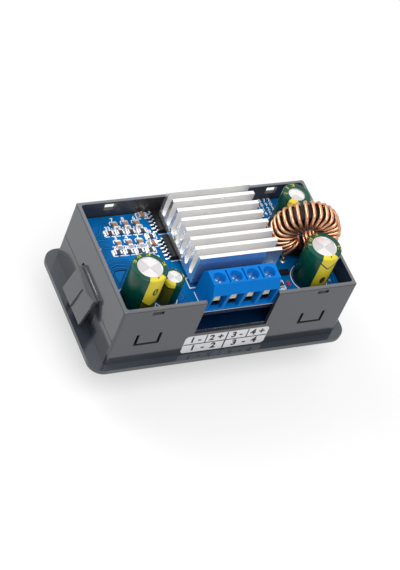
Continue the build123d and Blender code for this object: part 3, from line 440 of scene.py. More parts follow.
FINISHES = {
    "case_plastic": case_finish(),
    # The clip is the case's plastic drawn lighter: painted light
    "clip_plastic": moulded("clip_moulding_painted_light", paint(80, 83, 88), 0.14, 0.22, depth=0.006, spread=0.05,
                            Specular_IOR_Level=0.8),
    "window_pane": pane_finish(),
    "display_glass": display_finish(),
    "lamp_plastic": moulded("lamp_plastic", paint(226, 229, 226), 0.35, 0.5),
    "key_plastic": moulded("key_plastic", paint(148, 150, 154), 0.35, 0.48, grain=3000.0),
    "switch_plastic": moulded("switch_plastic", paint(34, 34, 37), 0.4, 0.55),
    "plunger_plastic": moulded("plunger_plastic", paint(188, 182, 166), 0.4, 0.55),
    "encoder_zinc": metal("encoder_zinc", paint(184, 184, 180), 0.28, 0.42, Scale=900.0),
    "shaft_metal": metal("shaft_metal", paint(206, 206, 208), 0.2, 0.32, Scale=1600.0),
    "knob_plastic": moulded("knob_plastic", paint(38, 39, 42), 0.42, 0.56, grain=2800.0),
    "board_blue": board_finish(),
    "control_blue": moulded("control_mask", paint(0, 30, 62), 0.3, 0.42, grain=1500.0, Specular_IOR_Level=0.3),
    "chip_black": moulded("chip_epoxy", paint(20, 20, 22), 0.42, 0.58, grain=3600.0, depth=0.015,
                          Specular_IOR_Level=0.25),
    "header_black": moulded("header_plastic", paint(30, 30, 32), 0.4, 0.5),
    "tin": metal("tin_plate", paint(248, 248, 250), 0.16, 0.32, depth=0.02, metallic=0.7, Scale=1400.0),
    "pin_brass": metal("pin_gilt", paint(226, 194, 120), 0.16, 0.28, Scale=1800.0),
    "pad_grey": moulded("pad_silicone", paint(52, 58, 66), 0.55, 0.7, grain=2000.0),
    "sink_aluminium": sink_finish(),
    "can_aluminium": metal("can_aluminium", paint(238, 236, 236), 0.26, 0.38, depth=0.004, metallic=0.6,
                           Scale=1800.0),
    "sleeve_green": sleeve_finish(),
    "core_black": moulded("core_paint", paint(30, 20, 18), 0.4, 0.55, grain=700.0, depth=0.02, Specular_IOR_Level=0.25),
    "wire_copper": wire_finish(),
    "terminal_blue": moulded("terminal_moulding", paint(0, 114, 198), 0.42, 0.55, grain=2200.0, depth=0.008,
                             spread=0.04, Specular_IOR_Level=0.1),
    "screw_steel": metal("screw_nickel", paint(232, 232, 230), 0.08, 0.18, Scale=1500.0),
    "chip_ceramic": moulded("chip_ceramic", paint(158, 118, 82), 0.38, 0.52, grain=3000.0, spread=0.16),
    "resistor_black": moulded("resistor_glaze", paint(46, 44, 46), 0.25, 0.4, grain=2000.0),
    "diode_red": moulded("red_lens", paint(190, 40, 50), 0.15, 0.25, grain=900.0),
    "label_film": moulded("label_film", paint(236, 236, 240), 0.4, 0.5, grain=2600.0, depth=0.004, spread=0.02),
}
PRINT_WHITE = moulded("print_white", paint(240, 243, 245), 0.4, 0.5, grain=3000.0, depth=0.01, spread=0.04)
PRINT_BLACK = moulded("print_black", paint(26, 27, 30), 0.4, 0.5, grain=3000.0, depth=0.004, spread=0.06)
STRIPE_YELLOW = stripe_finish("stripe_yellow", paint(222, 202, 52), paint(140, 134, 24))
# Painted shade: the stripe's yellow drawn darker, for the stripe below its V
STRIPE_SHADED = stripe_finish("stripe_painted_shade", paint(92, 92, 18), paint(52, 58, 14))
TICK_OLIVE = moulded("tick_print", paint(176, 166, 60), 0.4, 0.5, grain=900.0, depth=0.006, spread=0.12)
# Painted shade: the can's aluminium drawn darker, for every other sector of a can's top
CAN_SHADED = metal("can_aluminium_shaded", paint(214, 210, 211), 0.26, 0.38, depth=0.004, metallic=0.6, Scale=1800.0)
CONTACT_TAN = metal("contact_plate", paint(208, 198, 172), 0.3, 0.45, depth=0.01, metallic=0.4, Scale=1200.0)
# Painted shade: the wire cages are bright tin, drawn dark grey for the shade inside the terminal's mouths
CAGE_PAINTED_SHADE = metal("cage_shadowed", paint(58, 58, 60), 0.2, 0.34, metallic=0.8, Scale=1500.0)
TRACE_BLUE = moulded("trace_mask", paint(0, 106, 178), 0.3, 0.42, grain=1500.0, Specular_IOR_Level=0.08)
# Darker mask for the gaps round copper, and painted shade beside the packages and at the holes
GAP_AND_SHADE_BLUE = moulded("gap_and_shade_mask", paint(0, 54, 98), 0.3, 0.42, grain=1500.0, Specular_IOR_Level=0.1)
# Pale grey of uneven tone, for the line along the notch's edge
PALE_EDGE_GREY = moulded("worn_edge", paint(118, 124, 126), 0.4, 0.6, grain=900.0, depth=0.02, spread=0.55, blotch=1500.0)


# Mesh helpers; all lengths given to them are millimetres, but points are within WELD_REACH metres where they are
# one. How many sides a round form has, and into how many steps a short arc is cut
WELD_REACH = 1e-7
MITRE_LIMIT = 0.4
DOT_SIDES = 12
HOLE_SIDES = 16
OUTLINE_SIDES = 60
LIP_SIDES = 72
SHORT_ARC = 3


def point(x, y, z):
    """A place in metres, as Blender takes it, from millimetres."""
    return Vector((x, y, z)) * MM


def belt(work, first, second):
    """Joins two closed loops of vertices, one for one, by a belt of faces."""
    for i in range(len(first)):
        j = (i + 1) % len(first)
        work.faces.new((first[i], first[j], second[j], second[i]))


def prism(work, outline, low, high, place=Matrix.Identity(4)):
    """A closed upright solid on a flat outline, which runs anticlockwise; place turns it into its position."""
    base = [work.verts.new(place @ point(x, y, low)) for x, y in outline]
    roof = [work.verts.new(place @ point(x, y, high)) for x, y in outline]
    work.faces.new(list(reversed(base)))
    work.faces.new(roof)
    belt(work, base, roof)


def frame_solid(work, inner, outer, low, high):
    """A closed ring between two outlines with as many points each."""
    loops = [[work.verts.new(point(x, y, z)) for x, y in outline]
             for outline, z in ((outer, low), (outer, high), (inner, high), (inner, low))]
    for k, first in enumerate(loops):
        belt(work, first, loops[(k + 1) % 4])


def arc(cx, cy, radius, start, end, steps):
    """Points along an arc, angles in degrees."""
    angles = [math.radians(start + (end - start) * i / steps) for i in range(steps + 1)]
    return [(cx + radius * math.cos(a), cy + radius * math.sin(a)) for a in angles]


def circle(cx, cy, radius, count):
    """Points all the way round."""
    return arc(cx, cy, radius, 0, 360 - 360 / count, count - 1)


def round_box(cx, cy, length, width, radius):
    """Outline of a rectangle with round corners."""
    outline = []
    for turn, (sx, sy) in enumerate(((1, 1), (-1, 1), (-1, -1), (1, -1))):
        x = cx + sx * (length / 2 - radius)
        y = cy + sy * (width / 2 - radius)
        outline += arc(x, y, radius, 90 * turn, 90 * turn + 90, SHORT_ARC)
    return outline


def ribbon_sides(route, width):
    """The left and right edges of a flat line of that width, mitred at its corners."""
    left, right = [], []
    for i, here in enumerate(route):
        before = route[max(i - 1, 0)]
        after = route[min(i + 1, len(route) - 1)]
        along = [Vector((b[0] - a[0], b[1] - a[1])).normalized()
                 for a, b in ((before, here), (here, after)) if a != b]
        across = [Vector((-d.y, d.x)) for d in along]
        mid = sum(across, Vector((0, 0))).normalized()
        reach = width / 2 / max(MITRE_LIMIT, mid.dot(across[0]))
        left.append((here[0] + mid.x * reach, here[1] + mid.y * reach))
        right.append((here[0] - mid.x * reach, here[1] - mid.y * reach))
    return left, right


def ribbon(work, route, width, low, high, place=Matrix.Identity(4)):
    """A flat line of even width along a route."""
    left, right = ribbon_sides(route, width)
    for i in range(len(route) - 1):
        prism(work, [right[i], right[i + 1], left[i + 1], left[i]], low, high, place)


def tube(work, route, radius, sides):
    """A round bar along a route of points in metres, with flat ends."""
    side = None
    rings = []
    for i, here in enumerate(route):
        along = (route[min(i + 1, len(route) - 1)] - route[max(i - 1, 0)]).normalized()
        if side is None:
            side = along.orthogonal().normalized()
        side = (side - along * side.dot(along)).normalized()
        other = along.cross(side)
        turns = [2 * math.pi * k / sides for k in range(sides)]
        rings.append([work.verts.new(here + (side * math.cos(t) + other * math.sin(t)) * radius * MM)
                      for t in turns])
    for first, second in zip(rings, rings[1:]):
        belt(work, first, second)
    work.faces.new(list(reversed(rings[0])))
    work.faces.new(rings[-1])


def dome(work, cx, cy, z, radius, height, sides=14, rings=4, place=Matrix.Identity(4)):
    """A low closed mound, as of solder, on a flat face."""
    loops = []
    for i in range(rings):
        lean = math.pi / 2 * i / rings
        loops.append([work.verts.new(place @ point(cx + x, cy + y, z + height * math.sin(lean)))
                      for x, y in circle(0, 0, radius * math.cos(lean), sides)])
    top = work.verts.new(place @ point(cx, cy, z + height))
    work.faces.new(list(reversed(loops[0])))
    for first, second in zip(loops, loops[1:]):
        belt(work, first, second)
    for k in range(sides):
        work.faces.new((loops[-1][k], loops[-1][(k + 1) % sides], top))


def piece(name, work, material, body="module", smooth_below=35.0):
    """Turns finished mesh work into a piece that rides on a body and has its finish."""
    bmesh.ops.recalc_face_normals(work, faces=work.faces)
    mesh = bpy.data.meshes.new(name)
    work.to_mesh(mesh)
    work.free()
    mesh.materials.append(material)
    mesh.shade_smooth()
    mesh.set_sharp_from_angle(angle=math.radians(smooth_below))
    made = bpy.data.objects.new(name, mesh)
    bpy.context.scene.collection.objects.link(made)
    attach(made, body)
    return made


def loose_boxes(node):
    """The lowest and highest corner of each separate solid of a node, in millimetres."""
    work = bmesh.new()
    work.from_mesh(frame["nodes"][node].data)
    bmesh.ops.remove_doubles(work, verts=work.verts, dist=WELD_REACH)
    left = set(work.verts)
    boxes = []
    while left:
        waiting = [left.pop()]
        island = []
        while waiting:
            vertex = waiting.pop()
            island.append(vertex.co / MM)
            for edge in vertex.link_edges:
                other = edge.other_vert(vertex)
                if other in left:
                    left.remove(other)
                    waiting.append(other)
        low = Vector([min(co[k] for co in island) for k in range(3)])
        high = Vector([max(co[k] for co in island) for k in range(3)])
        boxes.append((low, high))
    work.free()
    return sorted(boxes, key=lambda corners: (round(corners[0].y, 2), round(corners[0].x, 2)))


def node_middle(node):
    """The middle of a node's box, in millimetres."""
    low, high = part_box(node)
    return (low + high) / 2 / MM


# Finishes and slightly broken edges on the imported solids
EDGE_WIDTHS = {
    "case": 0.16, "side_clip_left": 0.15, "side_clip_right": 0.15, "terminal_housing": 0.14, "heatsink": 0.07,
    "knob": 0.2, "transistor_bodies": 0.1, "transistor_leads": 0.04, "controller_chip": 0.1,
    "chip_capacitors": 0.07, "chip_resistors": 0.05, "chip_ends": 0.07, "small_transistor": 0.08, "red_chip": 0.06,
    "encoder_body": 0.12, "header_strip": 0.1, "header_socket": 0.1, "power_board": 0.06, "control_board": 0.06,
}
EDGE_FROM = 40.0
NODE_FINISHES = {"terminal_contacts": CONTACT_TAN}
for pole in (1, 2, 3, 4):
    EDGE_WIDTHS[f"terminal_screw_{pole}"] = 0.1
    EDGE_WIDTHS[f"wire_cage_{pole}"] = 0.1
    NODE_FINISHES[f"wire_cage_{pole}"] = CAGE_PAINTED_SHADE


def dress_solids():
    """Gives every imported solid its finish, and breaks the sharp edges of the ones that show."""
    slots = {row["node"]: row["material_slot"] for row in frame["record"]["subparts"]}
    for name, solid in frame["nodes"].items():
        solid.data.materials.clear()
        solid.data.materials.append(NODE_FINISHES.get(name, FINISHES[slots[name]]))
        if name in EDGE_WIDTHS:
            weld = solid.modifiers.new("weld", "WELD")
            weld.merge_threshold = WELD_REACH
            bevel = solid.modifiers.new("broken_edges", "BEVEL")
            bevel.width = EDGE_WIDTHS[name] * MM
            bevel.segments = 2
            bevel.limit_method = "ANGLE"
            bevel.angle_limit = math.radians(EDGE_FROM)
            bevel.harden_normals = True
            bevel.use_clamp_overlap = True


dress_solids()


# Wound ring: copper laid in slanted turns round the core, with both ends down to the board. Layers are counted in
# wires from the core to the wire's middle; the leads bend that far below the turns they leave
CORE = node_middle("inductor_core")
CORE_YAW = 12.0
CORE_OUTER = 8.7
CORE_INNER = 4.7
CORE_HALF = 2.4
WIRE_D = 1.02
WIRE_AIR = 0.25
TURNS = 26
WINDING_START = -80.0
WINDING_END = 245.0
TURN_STEPS = 32
SQUARENESS = 3.4
UNEVEN = 1.3
WIRE_SIDES = 14
LAYERS = (0.5, 1.5)
LEAD_FOOT = BOARD_TOP - 1.0
REAR_BEND = 1.2
FRONT_BEND = 0.4


def ring_place(radius, angle, side):
    """A point beside the core: distance from its axis, angle round it, and distance towards the viewer."""
    yaw = math.radians(CORE_YAW)
    across = radius * math.cos(math.radians(angle))
    x = CORE.x + across * math.cos(yaw) - side * math.sin(yaw)
    y = CORE.y - across * math.sin(yaw) - side * math.cos(yaw)
    return point(x, y, CORE.z + radius * math.sin(math.radians(angle)))


def rounded(share, power):
    """A sine or cosine pushed towards its ends, for a loop with flatter sides and round corners."""
    return math.copysign(abs(share) ** power, share)


def winding():
    """One wire in slanted, slightly uneven turns; inside the ring every other turn lies on a second layer."""
    work = bmesh.new()
    luck = random.Random(4)
    outer = CORE_OUTER + WIRE_AIR + WIRE_D / 2
    half = CORE_HALF + WIRE_AIR + WIRE_D / 2
    middle = (CORE_OUTER + CORE_INNER) / 2
    step = (WINDING_END - WINDING_START) / TURNS
    drift = [0.0] + [luck.uniform(-UNEVEN, UNEVEN) for turn in range(TURNS - 1)] + [0.0]
    route = []
    for i in range(TURNS * TURN_STEPS + 1):
        turn, share = divmod(i / TURN_STEPS, 1)
        turn = int(turn)
        inner = CORE_INNER - WIRE_AIR - WIRE_D * LAYERS[turn % 2]
        phase = 2 * math.pi * share
        away = rounded(math.cos(phase), 2 / SQUARENESS)
        radius = middle + away * (outer - middle if away > 0 else middle - inner)
        next_drift = drift[min(turn + 1, TURNS)]
        angle = WINDING_START + step * (turn + share) + drift[turn] * (1 - share) + next_drift * share
        route.append(ring_place(radius, angle, half * rounded(math.sin(phase), 2 / SQUARENESS)))
    first, last = route[0], route[-1]
    front = ring_place(outer, WINDING_END, half)
    start = [Vector((first.x, first.y, LEAD_FOOT * MM)), Vector((first.x, first.y, first.z - REAR_BEND * MM))]
    end = [Vector((front.x, front.y, front.z - FRONT_BEND * MM)), Vector((front.x, front.y, LEAD_FOOT * MM))]
    route = start + route + [last.lerp(front, 0.5), front] + end
    tube(work, route, WIRE_D / 2, WIRE_SIDES)
    made = piece("copper_winding", work, FINISHES["wire_copper"], smooth_below=60)
    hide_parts("inductor_winding")
    return first, front


LEAD_REAR, LEAD_FRONT = winding()


# Capacitors: sectors of the top; turn and span of the stripe in degrees; inner edge of the sleeve's lip and line of
# the oval as shares of the radius; heights of the oval and of the V as shares of the sleeve's height; how far the V
# drops in its middle; and whether the stripe is drawn darker below it, as painted shade
CAPACITORS = {
    "left": {"sectors": 4, "turn": -81.0, "span": 60.0, "lip": 0.72, "oval": 0.66, "line": 0.10, "chevron": 0.36,
             "drop": 1.9, "shaded_foot": True},
    "small": {"sectors": 4, "turn": -136.0, "span": 62.0, "lip": 0.70, "oval": 0.0, "line": 0.0, "chevron": 0.80,
              "drop": 0.4, "shaded_foot": True},
    "back": {"sectors": 3, "turn": -128.0, "span": 42.0, "lip": 0.60, "oval": 0.5, "line": 0.10, "chevron": 0.84,
             "drop": 1.9, "shaded_foot": False},
    "right": {"sectors": 4, "turn": -90.0, "span": 56.0, "lip": 0.70, "oval": 0.36, "line": 0.14, "chevron": 0.84,
              "drop": 1.9, "shaded_foot": False},
}
# Where ticks stand on each lip, in degrees, and the stripes that have a dot
LIP_MARKS = {"left": (72, 82, 110, 119, 143, 151, 2, 12), "small": (160, 170, 205, -8, 4, 60),
             "back": (84, 95, 128, 168), "right": (98, 108, 134, 144, 166, -22, -10)}
DOTTED = ("left", "right")

# Sleeve: its round top edge, the film's foot, and the back and front of what is printed on it and of the painted shade
# over the stripe's foot, out from its face
SLEEVE_EDGE = 0.5
EDGE_STEPS = 6
EDGE_SHARE = 0.7
FILM_FOOT = 0.02
STRIPE_LIFTS = (-0.01, 0.02)
FOOT_LIFTS = (-0.01, 0.028)
MARK_LIFTS = (0.02, 0.035)
STRIPE_STEPS = 14
BAND_STEPS = 12
LIP_STEP = 0.03
V_THICK = 0.5
FOOT_OVER_V = 0.1

# Oval on a stripe: how far it is turned, and half its sides as shares of the can's radius
OVAL_TURN = 2.0
OVAL_WIDE = 0.15
OVAL_HIGH = 0.27
OVAL_STEPS = 20
OVAL_POWER = 0.8

# Ticks on a lip: how far they stay from its edges, half their width, the length of a short one, and the cross line
# that every third one has
TICK_IN = 0.25
TICK_OUT = 0.35
TICK_HALF = 0.26
TICK_BIT = 0.22
TICK_T = 0.02
CROSS_EVERY = 3
CROSS_HALF = 0.1
CROSS_REACH = 2.2
CROSS_T = 0.022
STRIPE_DOT_TURN = 4.0
STRIPE_DOT_PLACE = 0.80
STRIPE_DOT_R = 0.26
STRIPE_DOT_T = 0.035

# Lip that reaches further in, and the pressed top: its reach as a share of the can's radius, and how far each
# shade of sector, the lit one and the painted-shade one, falls towards its rim
COVER_OUT = 0.80
COVER_DEEP = 0.16
COVER_PROUD = 0.008
VENT_REACH = 0.70
VENT_DEEP = 0.25
VENT_GROOVE = 0.06
VENT_RIM = 0.05
VENT_RISE = 0.10
VENT_FALLS = (0.05, 0.08)
VENT_TURNS = {3: 70.0, 4: 25.0}
VENT_STEPS = 14


def close_sheet(work, grids):
    """Joins two like grids of vertices, one behind the other, into a closed thin plate."""
    back, front = grids
    rows, columns = len(front), len(front[0])
    for row in range(rows - 1):
        for col in range(columns - 1):
            work.faces.new((front[row][col], front[row][col + 1], front[row + 1][col + 1], front[row + 1][col]))
            work.faces.new((back[row][col], back[row + 1][col], back[row + 1][col + 1], back[row][col + 1]))
    rim = [(0, c) for c in range(columns)] + [(r, columns - 1) for r in range(1, rows)]
    rim += [(rows - 1, c) for c in range(columns - 2, -1, -1)] + [(r, 0) for r in range(rows - 2, 0, -1)]
    for i, (r, c) in enumerate(rim):
        r2, c2 = rim[(i + 1) % len(rim)]
        work.faces.new((front[r][c], back[r][c], back[r2][c2], front[r2][c2]))


def sleeve_sizes(name):
    """Middle, radius, foot and top of a capacitor's sleeve, in millimetres."""
    low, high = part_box(f"sleeve_{name}")
    return (low + high) / 2 / MM, (high.x - low.x) / 2 / MM, low.z / MM + FILM_FOOT, high.z / MM


def on_can(middle, radius, angle, z):
    """A place on an upright cylinder, by its angle in radians and its height."""
    return point(middle.x + radius * math.cos(angle), middle.y + radius * math.sin(angle), z)


def stripe(name):
    """The pale stripe that marks the negative side: up the sleeve, over its round edge and onto its lip."""
    look = CAPACITORS[name]
    middle, radius, foot, top = sleeve_sizes(name)
    start, end = look["turn"] - look["span"] / 2, look["turn"] + look["span"] / 2
    shoulder, wall_top, lip = radius - SLEEVE_EDGE, top - SLEEVE_EDGE, radius * look["lip"]
    # Each step has its radius, its height, and how much of a lift goes out and up there
    profile = [(radius, z, 1.0, 0.0) for z in (foot, (foot + wall_top) / 2, wall_top)]
    for i in range(1, EDGE_STEPS + 1):
        lean = math.pi / 2 * i / EDGE_STEPS
        profile.append((shoulder + SLEEVE_EDGE * math.cos(lean), wall_top + SLEEVE_EDGE * math.sin(lean),
                        EDGE_SHARE, EDGE_SHARE))
    profile += [(r, top, 0.0, 1.0) for r in ((shoulder + lip) / 2, lip + LIP_STEP)]
    work = bmesh.new()
    grids = []
    for lift in STRIPE_LIFTS:
        grids.append([[work.verts.new(point(x, y, z + lift * up))
                       for x, y in arc(middle.x, middle.y, r + lift * out, start, end, STRIPE_STEPS)]
                      for r, z, out, up in profile])
    close_sheet(work, grids)
    piece(f"sleeve_stripe_{name}", work, STRIPE_YELLOW, smooth_below=50)

    height = top - foot
    v_level = foot + height * look["chevron"]

    def v_at(share):
        """Height of the V-shaped line across the stripe, from one edge at 0 to the other at 1."""
        return v_level - look["drop"] * (1 - abs(2 * share - 1))

    marks = bmesh.new()
    if look["oval"]:
        ring_mark(marks, middle, radius, look["turn"] + OVAL_TURN, foot + height * look["oval"],
                  radius * OVAL_WIDE, radius * OVAL_HIGH, radius * look["line"])
    band(marks, middle, radius, start, end, v_at, lambda share: v_at(share) + V_THICK, MARK_LIFTS)
    piece(f"sleeve_marks_{name}", marks, PRINT_BLACK, smooth_below=50)
    # Painted shade: below the V, a darker copy of the stripe is laid over it
    if look["shaded_foot"]:
        shaded_foot = bmesh.new()
        band(shaded_foot, middle, radius, start, end, lambda share: foot, lambda share: v_at(share) + FOOT_OVER_V,
             FOOT_LIFTS)
        piece(f"stripe_shade_foot_{name}", shaded_foot, STRIPE_SHADED, smooth_below=50)


def band(work, middle, radius, start, end, low_at, high_at, lifts):
    """A thin sheet on an upright cylinder, between two heights that may change from its start to its end."""
    grids = []
    for lift in lifts:
        grid = []
        for height_at in (low_at, high_at):
            row = []
            for i in range(BAND_STEPS + 1):
                angle = math.radians(start + (end - start) * i / BAND_STEPS)
                row.append(work.verts.new(on_can(middle, radius + lift, angle, height_at(i / BAND_STEPS))))
            grid.append(row)
        grids.append(grid)
    close_sheet(work, grids)


def ring_part(work, middle, radii, angles, top, thick):
    """A flat piece of a ring on a can's top, between two radii and two angles."""
    outer = arc(middle.x, middle.y, radii[1], angles[0], angles[1], SHORT_ARC)
    inner = arc(middle.x, middle.y, radii[0], angles[1], angles[0], SHORT_ARC)
    prism(work, outer + inner, top - SINK_IN, top + thick)


def lip_marks(name):
    """Plain ticks in groups on the sleeve's lip, and a dot on the stripe."""
    look = CAPACITORS[name]
    middle, radius, foot, top = sleeve_sizes(name)
    inner, outer = radius * look["lip"] + TICK_IN, radius - TICK_OUT
    across = (inner + outer) / 2
    half = math.degrees(TICK_HALF / radius)
    work = bmesh.new()
    for i, angle in enumerate(LIP_MARKS[name]):
        for radii in ((inner, inner + TICK_BIT), (outer - TICK_BIT, outer)) if i % 2 else ((inner, outer),):
            ring_part(work, middle, radii, (angle - half, angle + half), top, TICK_T)
        if i % CROSS_EVERY == 0:
            ring_part(work, middle, (across - CROSS_HALF, across + CROSS_HALF),
                      (angle - half, angle + CROSS_REACH * half), top, CROSS_T)
    piece(f"sleeve_ticks_{name}", work, TICK_OLIVE)
    if name in DOTTED:
        dot = bmesh.new()
        spot = math.radians(look["turn"] + STRIPE_DOT_TURN)
        reach = radius * STRIPE_DOT_PLACE
        outline = circle(middle.x + reach * math.cos(spot), middle.y + reach * math.sin(spot), STRIPE_DOT_R,
                         DOT_SIDES)
        prism(dot, outline, top, top + STRIPE_DOT_T)
        piece(f"sleeve_dot_{name}", dot, PRINT_BLACK)


def lip_cover(name):
    """The sleeve's lip where it reaches further in over the can's top."""
    middle, radius, foot, top = sleeve_sizes(name)
    work = bmesh.new()
    inner, outer = (circle(middle.x, middle.y, radius * share, LIP_SIDES)
                    for share in (CAPACITORS[name]["lip"], COVER_OUT))
    frame_solid(work, inner, outer, top - COVER_DEEP, top + COVER_PROUD)
    piece(f"sleeve_lip_{name}", work, FINISHES["sleeve_green"], smooth_below=40)


def ring_mark(work, middle, radius, turn, level, half_wide, half_high, line):
    """A plain upright oval printed on the stripe."""
    loops = []
    for lift in MARK_LIFTS:
        for inset in (0.0, line):
            loop = []
            for i in range(OVAL_STEPS):
                a = 2 * math.pi * i / OVAL_STEPS
                across = (half_wide - inset) * rounded(math.cos(a), OVAL_POWER)
                z = level + (half_high - inset) * math.sin(a)
                loop.append(work.verts.new(on_can(middle, radius + lift, math.radians(turn) + across / radius, z)))
            loops.append(loop)
    back_out, back_in, front_out, front_in = loops
    for first, second in ((back_out, front_out), (front_out, front_in), (front_in, back_in), (back_in, back_out)):
        belt(work, first, second)


def vent_top(name):
    """Pressed top of a can: flat sectors between the thin grooves of its safety vent, each tilted a little, and every
    other one drawn darker as painted shade.
    """
    sectors = CAPACITORS[name]["sectors"]
    low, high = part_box(f"capacitor_{name}")
    middle = (low + high) / 2 / MM
    reach = (high.x - low.x) / 2 / MM * VENT_REACH
    level = high.z / MM - VENT_DEEP
    off = VENT_GROOVE / math.sin(math.pi / sectors)
    for shade, finish in enumerate((FINISHES["can_aluminium"], CAN_SHADED)):
        work = bmesh.new()
        for k in range(shade, sectors, 2):
            start = VENT_TURNS[sectors] + 360 / sectors * k
            end = start + 360 / sectors
            bisector = math.radians((start + end) / 2)
            cx, cy = middle.x + off * math.cos(bisector), middle.y + off * math.sin(bisector)
            outline = [(cx, cy)] + arc(cx, cy, reach - off - VENT_RIM, start, end, VENT_STEPS)
            base = [work.verts.new(point(x, y, level - SINK_IN)) for x, y in outline]
            roof = []
            for x, y in outline:
                out = math.hypot(x - middle.x, y - middle.y) / reach
                roof.append(work.verts.new(point(x, y, level + VENT_RISE - VENT_FALLS[shade] * out)))
            work.faces.new(list(reversed(base)))
            work.faces.new(roof)
            belt(work, base, roof)
        piece(f"vent_top_{name}_{shade + 1}", work, finish, smooth_below=20)


for can_name in CAPACITORS:
    stripe(can_name)
    lip_marks(can_name)
    vent_top(can_name)
lip_cover("back")


# Chips, and the solder on the board. A fillet runs out by PAD_REACH from the chip's end; its hollow face is given as
# shares of that reach and of the chip's height
CHIP_HALF = 1.0
CHIP_WIDE = 0.625
PAD_REACH = 0.38
PAD_T = 0.04
FILLET_IN = 0.02
FILLET_OVER = 0.06
FILLET_FACE = ((0.45, 0.30), (0.15, 0.62))
FILLET_TOP = 0.86
LEAD_PAD_L = 0.8
LEAD_PAD_W = 0.5
LEAD_PAD_R = 0.12
LEAD_PAD_T = 0.07

# Solder mounds, radius and height; how far in from its face a contact's pin stands, and where a can's pins stand as
# a share of its width
MOUNDS = {"wire": (0.8, 0.45), "pin": (0.8, 0.55), "pin_under": (0.8, 0.5), "contact": (1.1, 0.7), "can": (1.0, 0.7)}
CONTACT_PIN_IN = 0.3
CAN_PIN_REACH = 0.215


def chip_places():
    """For every chip: its middle, its direction, half its length and its height, from the bodies and ends."""
    ends = [((low + high) / 2, high) for low, high in loose_boxes("chip_ends")]
    found = []
    for kind in ("chip_capacitors", "chip_resistors"):
        for low, high in loose_boxes(kind):
            middle = (low + high) / 2
            near = sorted(ends, key=lambda end: (end[0] - middle).length)[:2]
            along = (near[0][0] - near[1][0]).to_2d().normalized()
            # Every chip points to the right, or to the back where it lies across the board
            if along.x < -0.1 or along.y < -0.9:
                along = -along
            found.append((kind, middle, along, high.z - BOARD_TOP))
    return found


CHIPS = chip_places()


def chip_matrix(middle, along):
    """Places work that is drawn along X round the origin on the board, along the chip."""
    turn = math.atan2(along.y, along.x)
    return Matrix.Translation(point(middle.x, middle.y, 0)) @ Matrix.Rotation(turn, 4, "Z")


def mound(work, x, y, kind, under=False):
    """Solder round a pin or wire, on the board's top or hanging below it."""
    radius, height = MOUNDS[kind]
    if under:
        dome(work, x, y, -(BOARD_UNDER + SINK_IN), radius, height, place=Matrix.Scale(-1, 4, UP))
    else:
        dome(work, x, y, ON_BOARD, radius, height)


def fillet(work, place, side, height):
    """Solder that climbs one end of a chip, hollow towards the board."""
    profile = [(CHIP_HALF - FILLET_IN, 0.0), (CHIP_HALF + PAD_REACH, 0.0), (CHIP_HALF + PAD_REACH, PAD_T)]
    profile += [(CHIP_HALF + PAD_REACH * out, height * up) for out, up in FILLET_FACE]
    profile.append((CHIP_HALF - FILLET_IN, height * FILLET_TOP))
    half = CHIP_WIDE + FILLET_OVER
    ends = [[work.verts.new(place @ point(side * x, y, ON_BOARD + z)) for x, z in profile] for y in (-half, half)]
    work.faces.new(ends[0])
    work.faces.new(list(reversed(ends[1])))
    belt(work, ends[0], ends[1])


def solder():
    """Fillets at every chip's ends, pads under the leads, and mounds at the pins and wire ends."""
    work = bmesh.new()
    for kind, middle, along, height in CHIPS:
        for side in (-1, 1):
            fillet(work, chip_matrix(middle, along), side, height)
    packages = [(low + high) / 2 for low, high in loose_boxes("transistor_bodies")]
    for low, high in loose_boxes("transistor_leads"):
        middle = (low + high) / 2
        package = min(packages, key=lambda at: (at - middle).length)
        foot = low.x if middle.x < package.x else high.x
        pad = round_box(foot, middle.y, LEAD_PAD_L, LEAD_PAD_W, LEAD_PAD_R)
        prism(work, pad, ON_BOARD, BOARD_TOP + LEAD_PAD_T)
    for lead in (LEAD_REAR, LEAD_FRONT):
        mound(work, lead.x / MM, lead.y / MM, "wire")
    for low, high in loose_boxes("header_pins"):
        middle = (low + high) / 2
        mound(work, middle.x, middle.y, "pin")
        mound(work, middle.x, middle.y, "pin_under", under=True)
    for low, high in loose_boxes("terminal_contacts"):
        mound(work, (low.x + high.x) / 2, high.y - CONTACT_PIN_IN, "contact", under=True)
    for name in CAPACITORS:
        low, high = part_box(f"capacitor_{name}")
        middle = (low + high) / 2 / MM
        reach = (high.x - low.x) / MM * CAN_PIN_REACH
        for side in (-1, 1):
            mound(work, middle.x + side * reach, middle.y, "can", under=True)
    piece("solder", work, FINISHES["tin"], smooth_below=50)


solder()


# Holes in the board: covered ones show as dark dots, bare ones have a plated ring out to a multiple of their radius
COVERED_HOLES = [
    (-30.7, 14.9), (-27.7, 14.7), (-28.2, 11.8), (-31.6, 10.6), (-30.7, 3.8), (30.6, 2.6), (31.6, 5.2), (30.8, 14.9),
    (-13.9, -3.2), (-15.4, -3.6), (-16.8, -5.3), (16.4, 4.3), (17.2, 6.2), (-12.9, -13.9), (22.6, 13.9), (30.9, 16.4),
]
BARE_HOLES = [(31.5, -12.8), (16.8, -15.4), (14.4, -13.9)]
EDGE_DOTS = [(-31.4, 3.9), (-31.35, 1.4), (-31.45, -1.2), (-31.3, -3.55)]
HOLE_R = 0.17
DOT_R = 0.24
PLATE_IN = 0.02
PLATE_OUT = 2.3


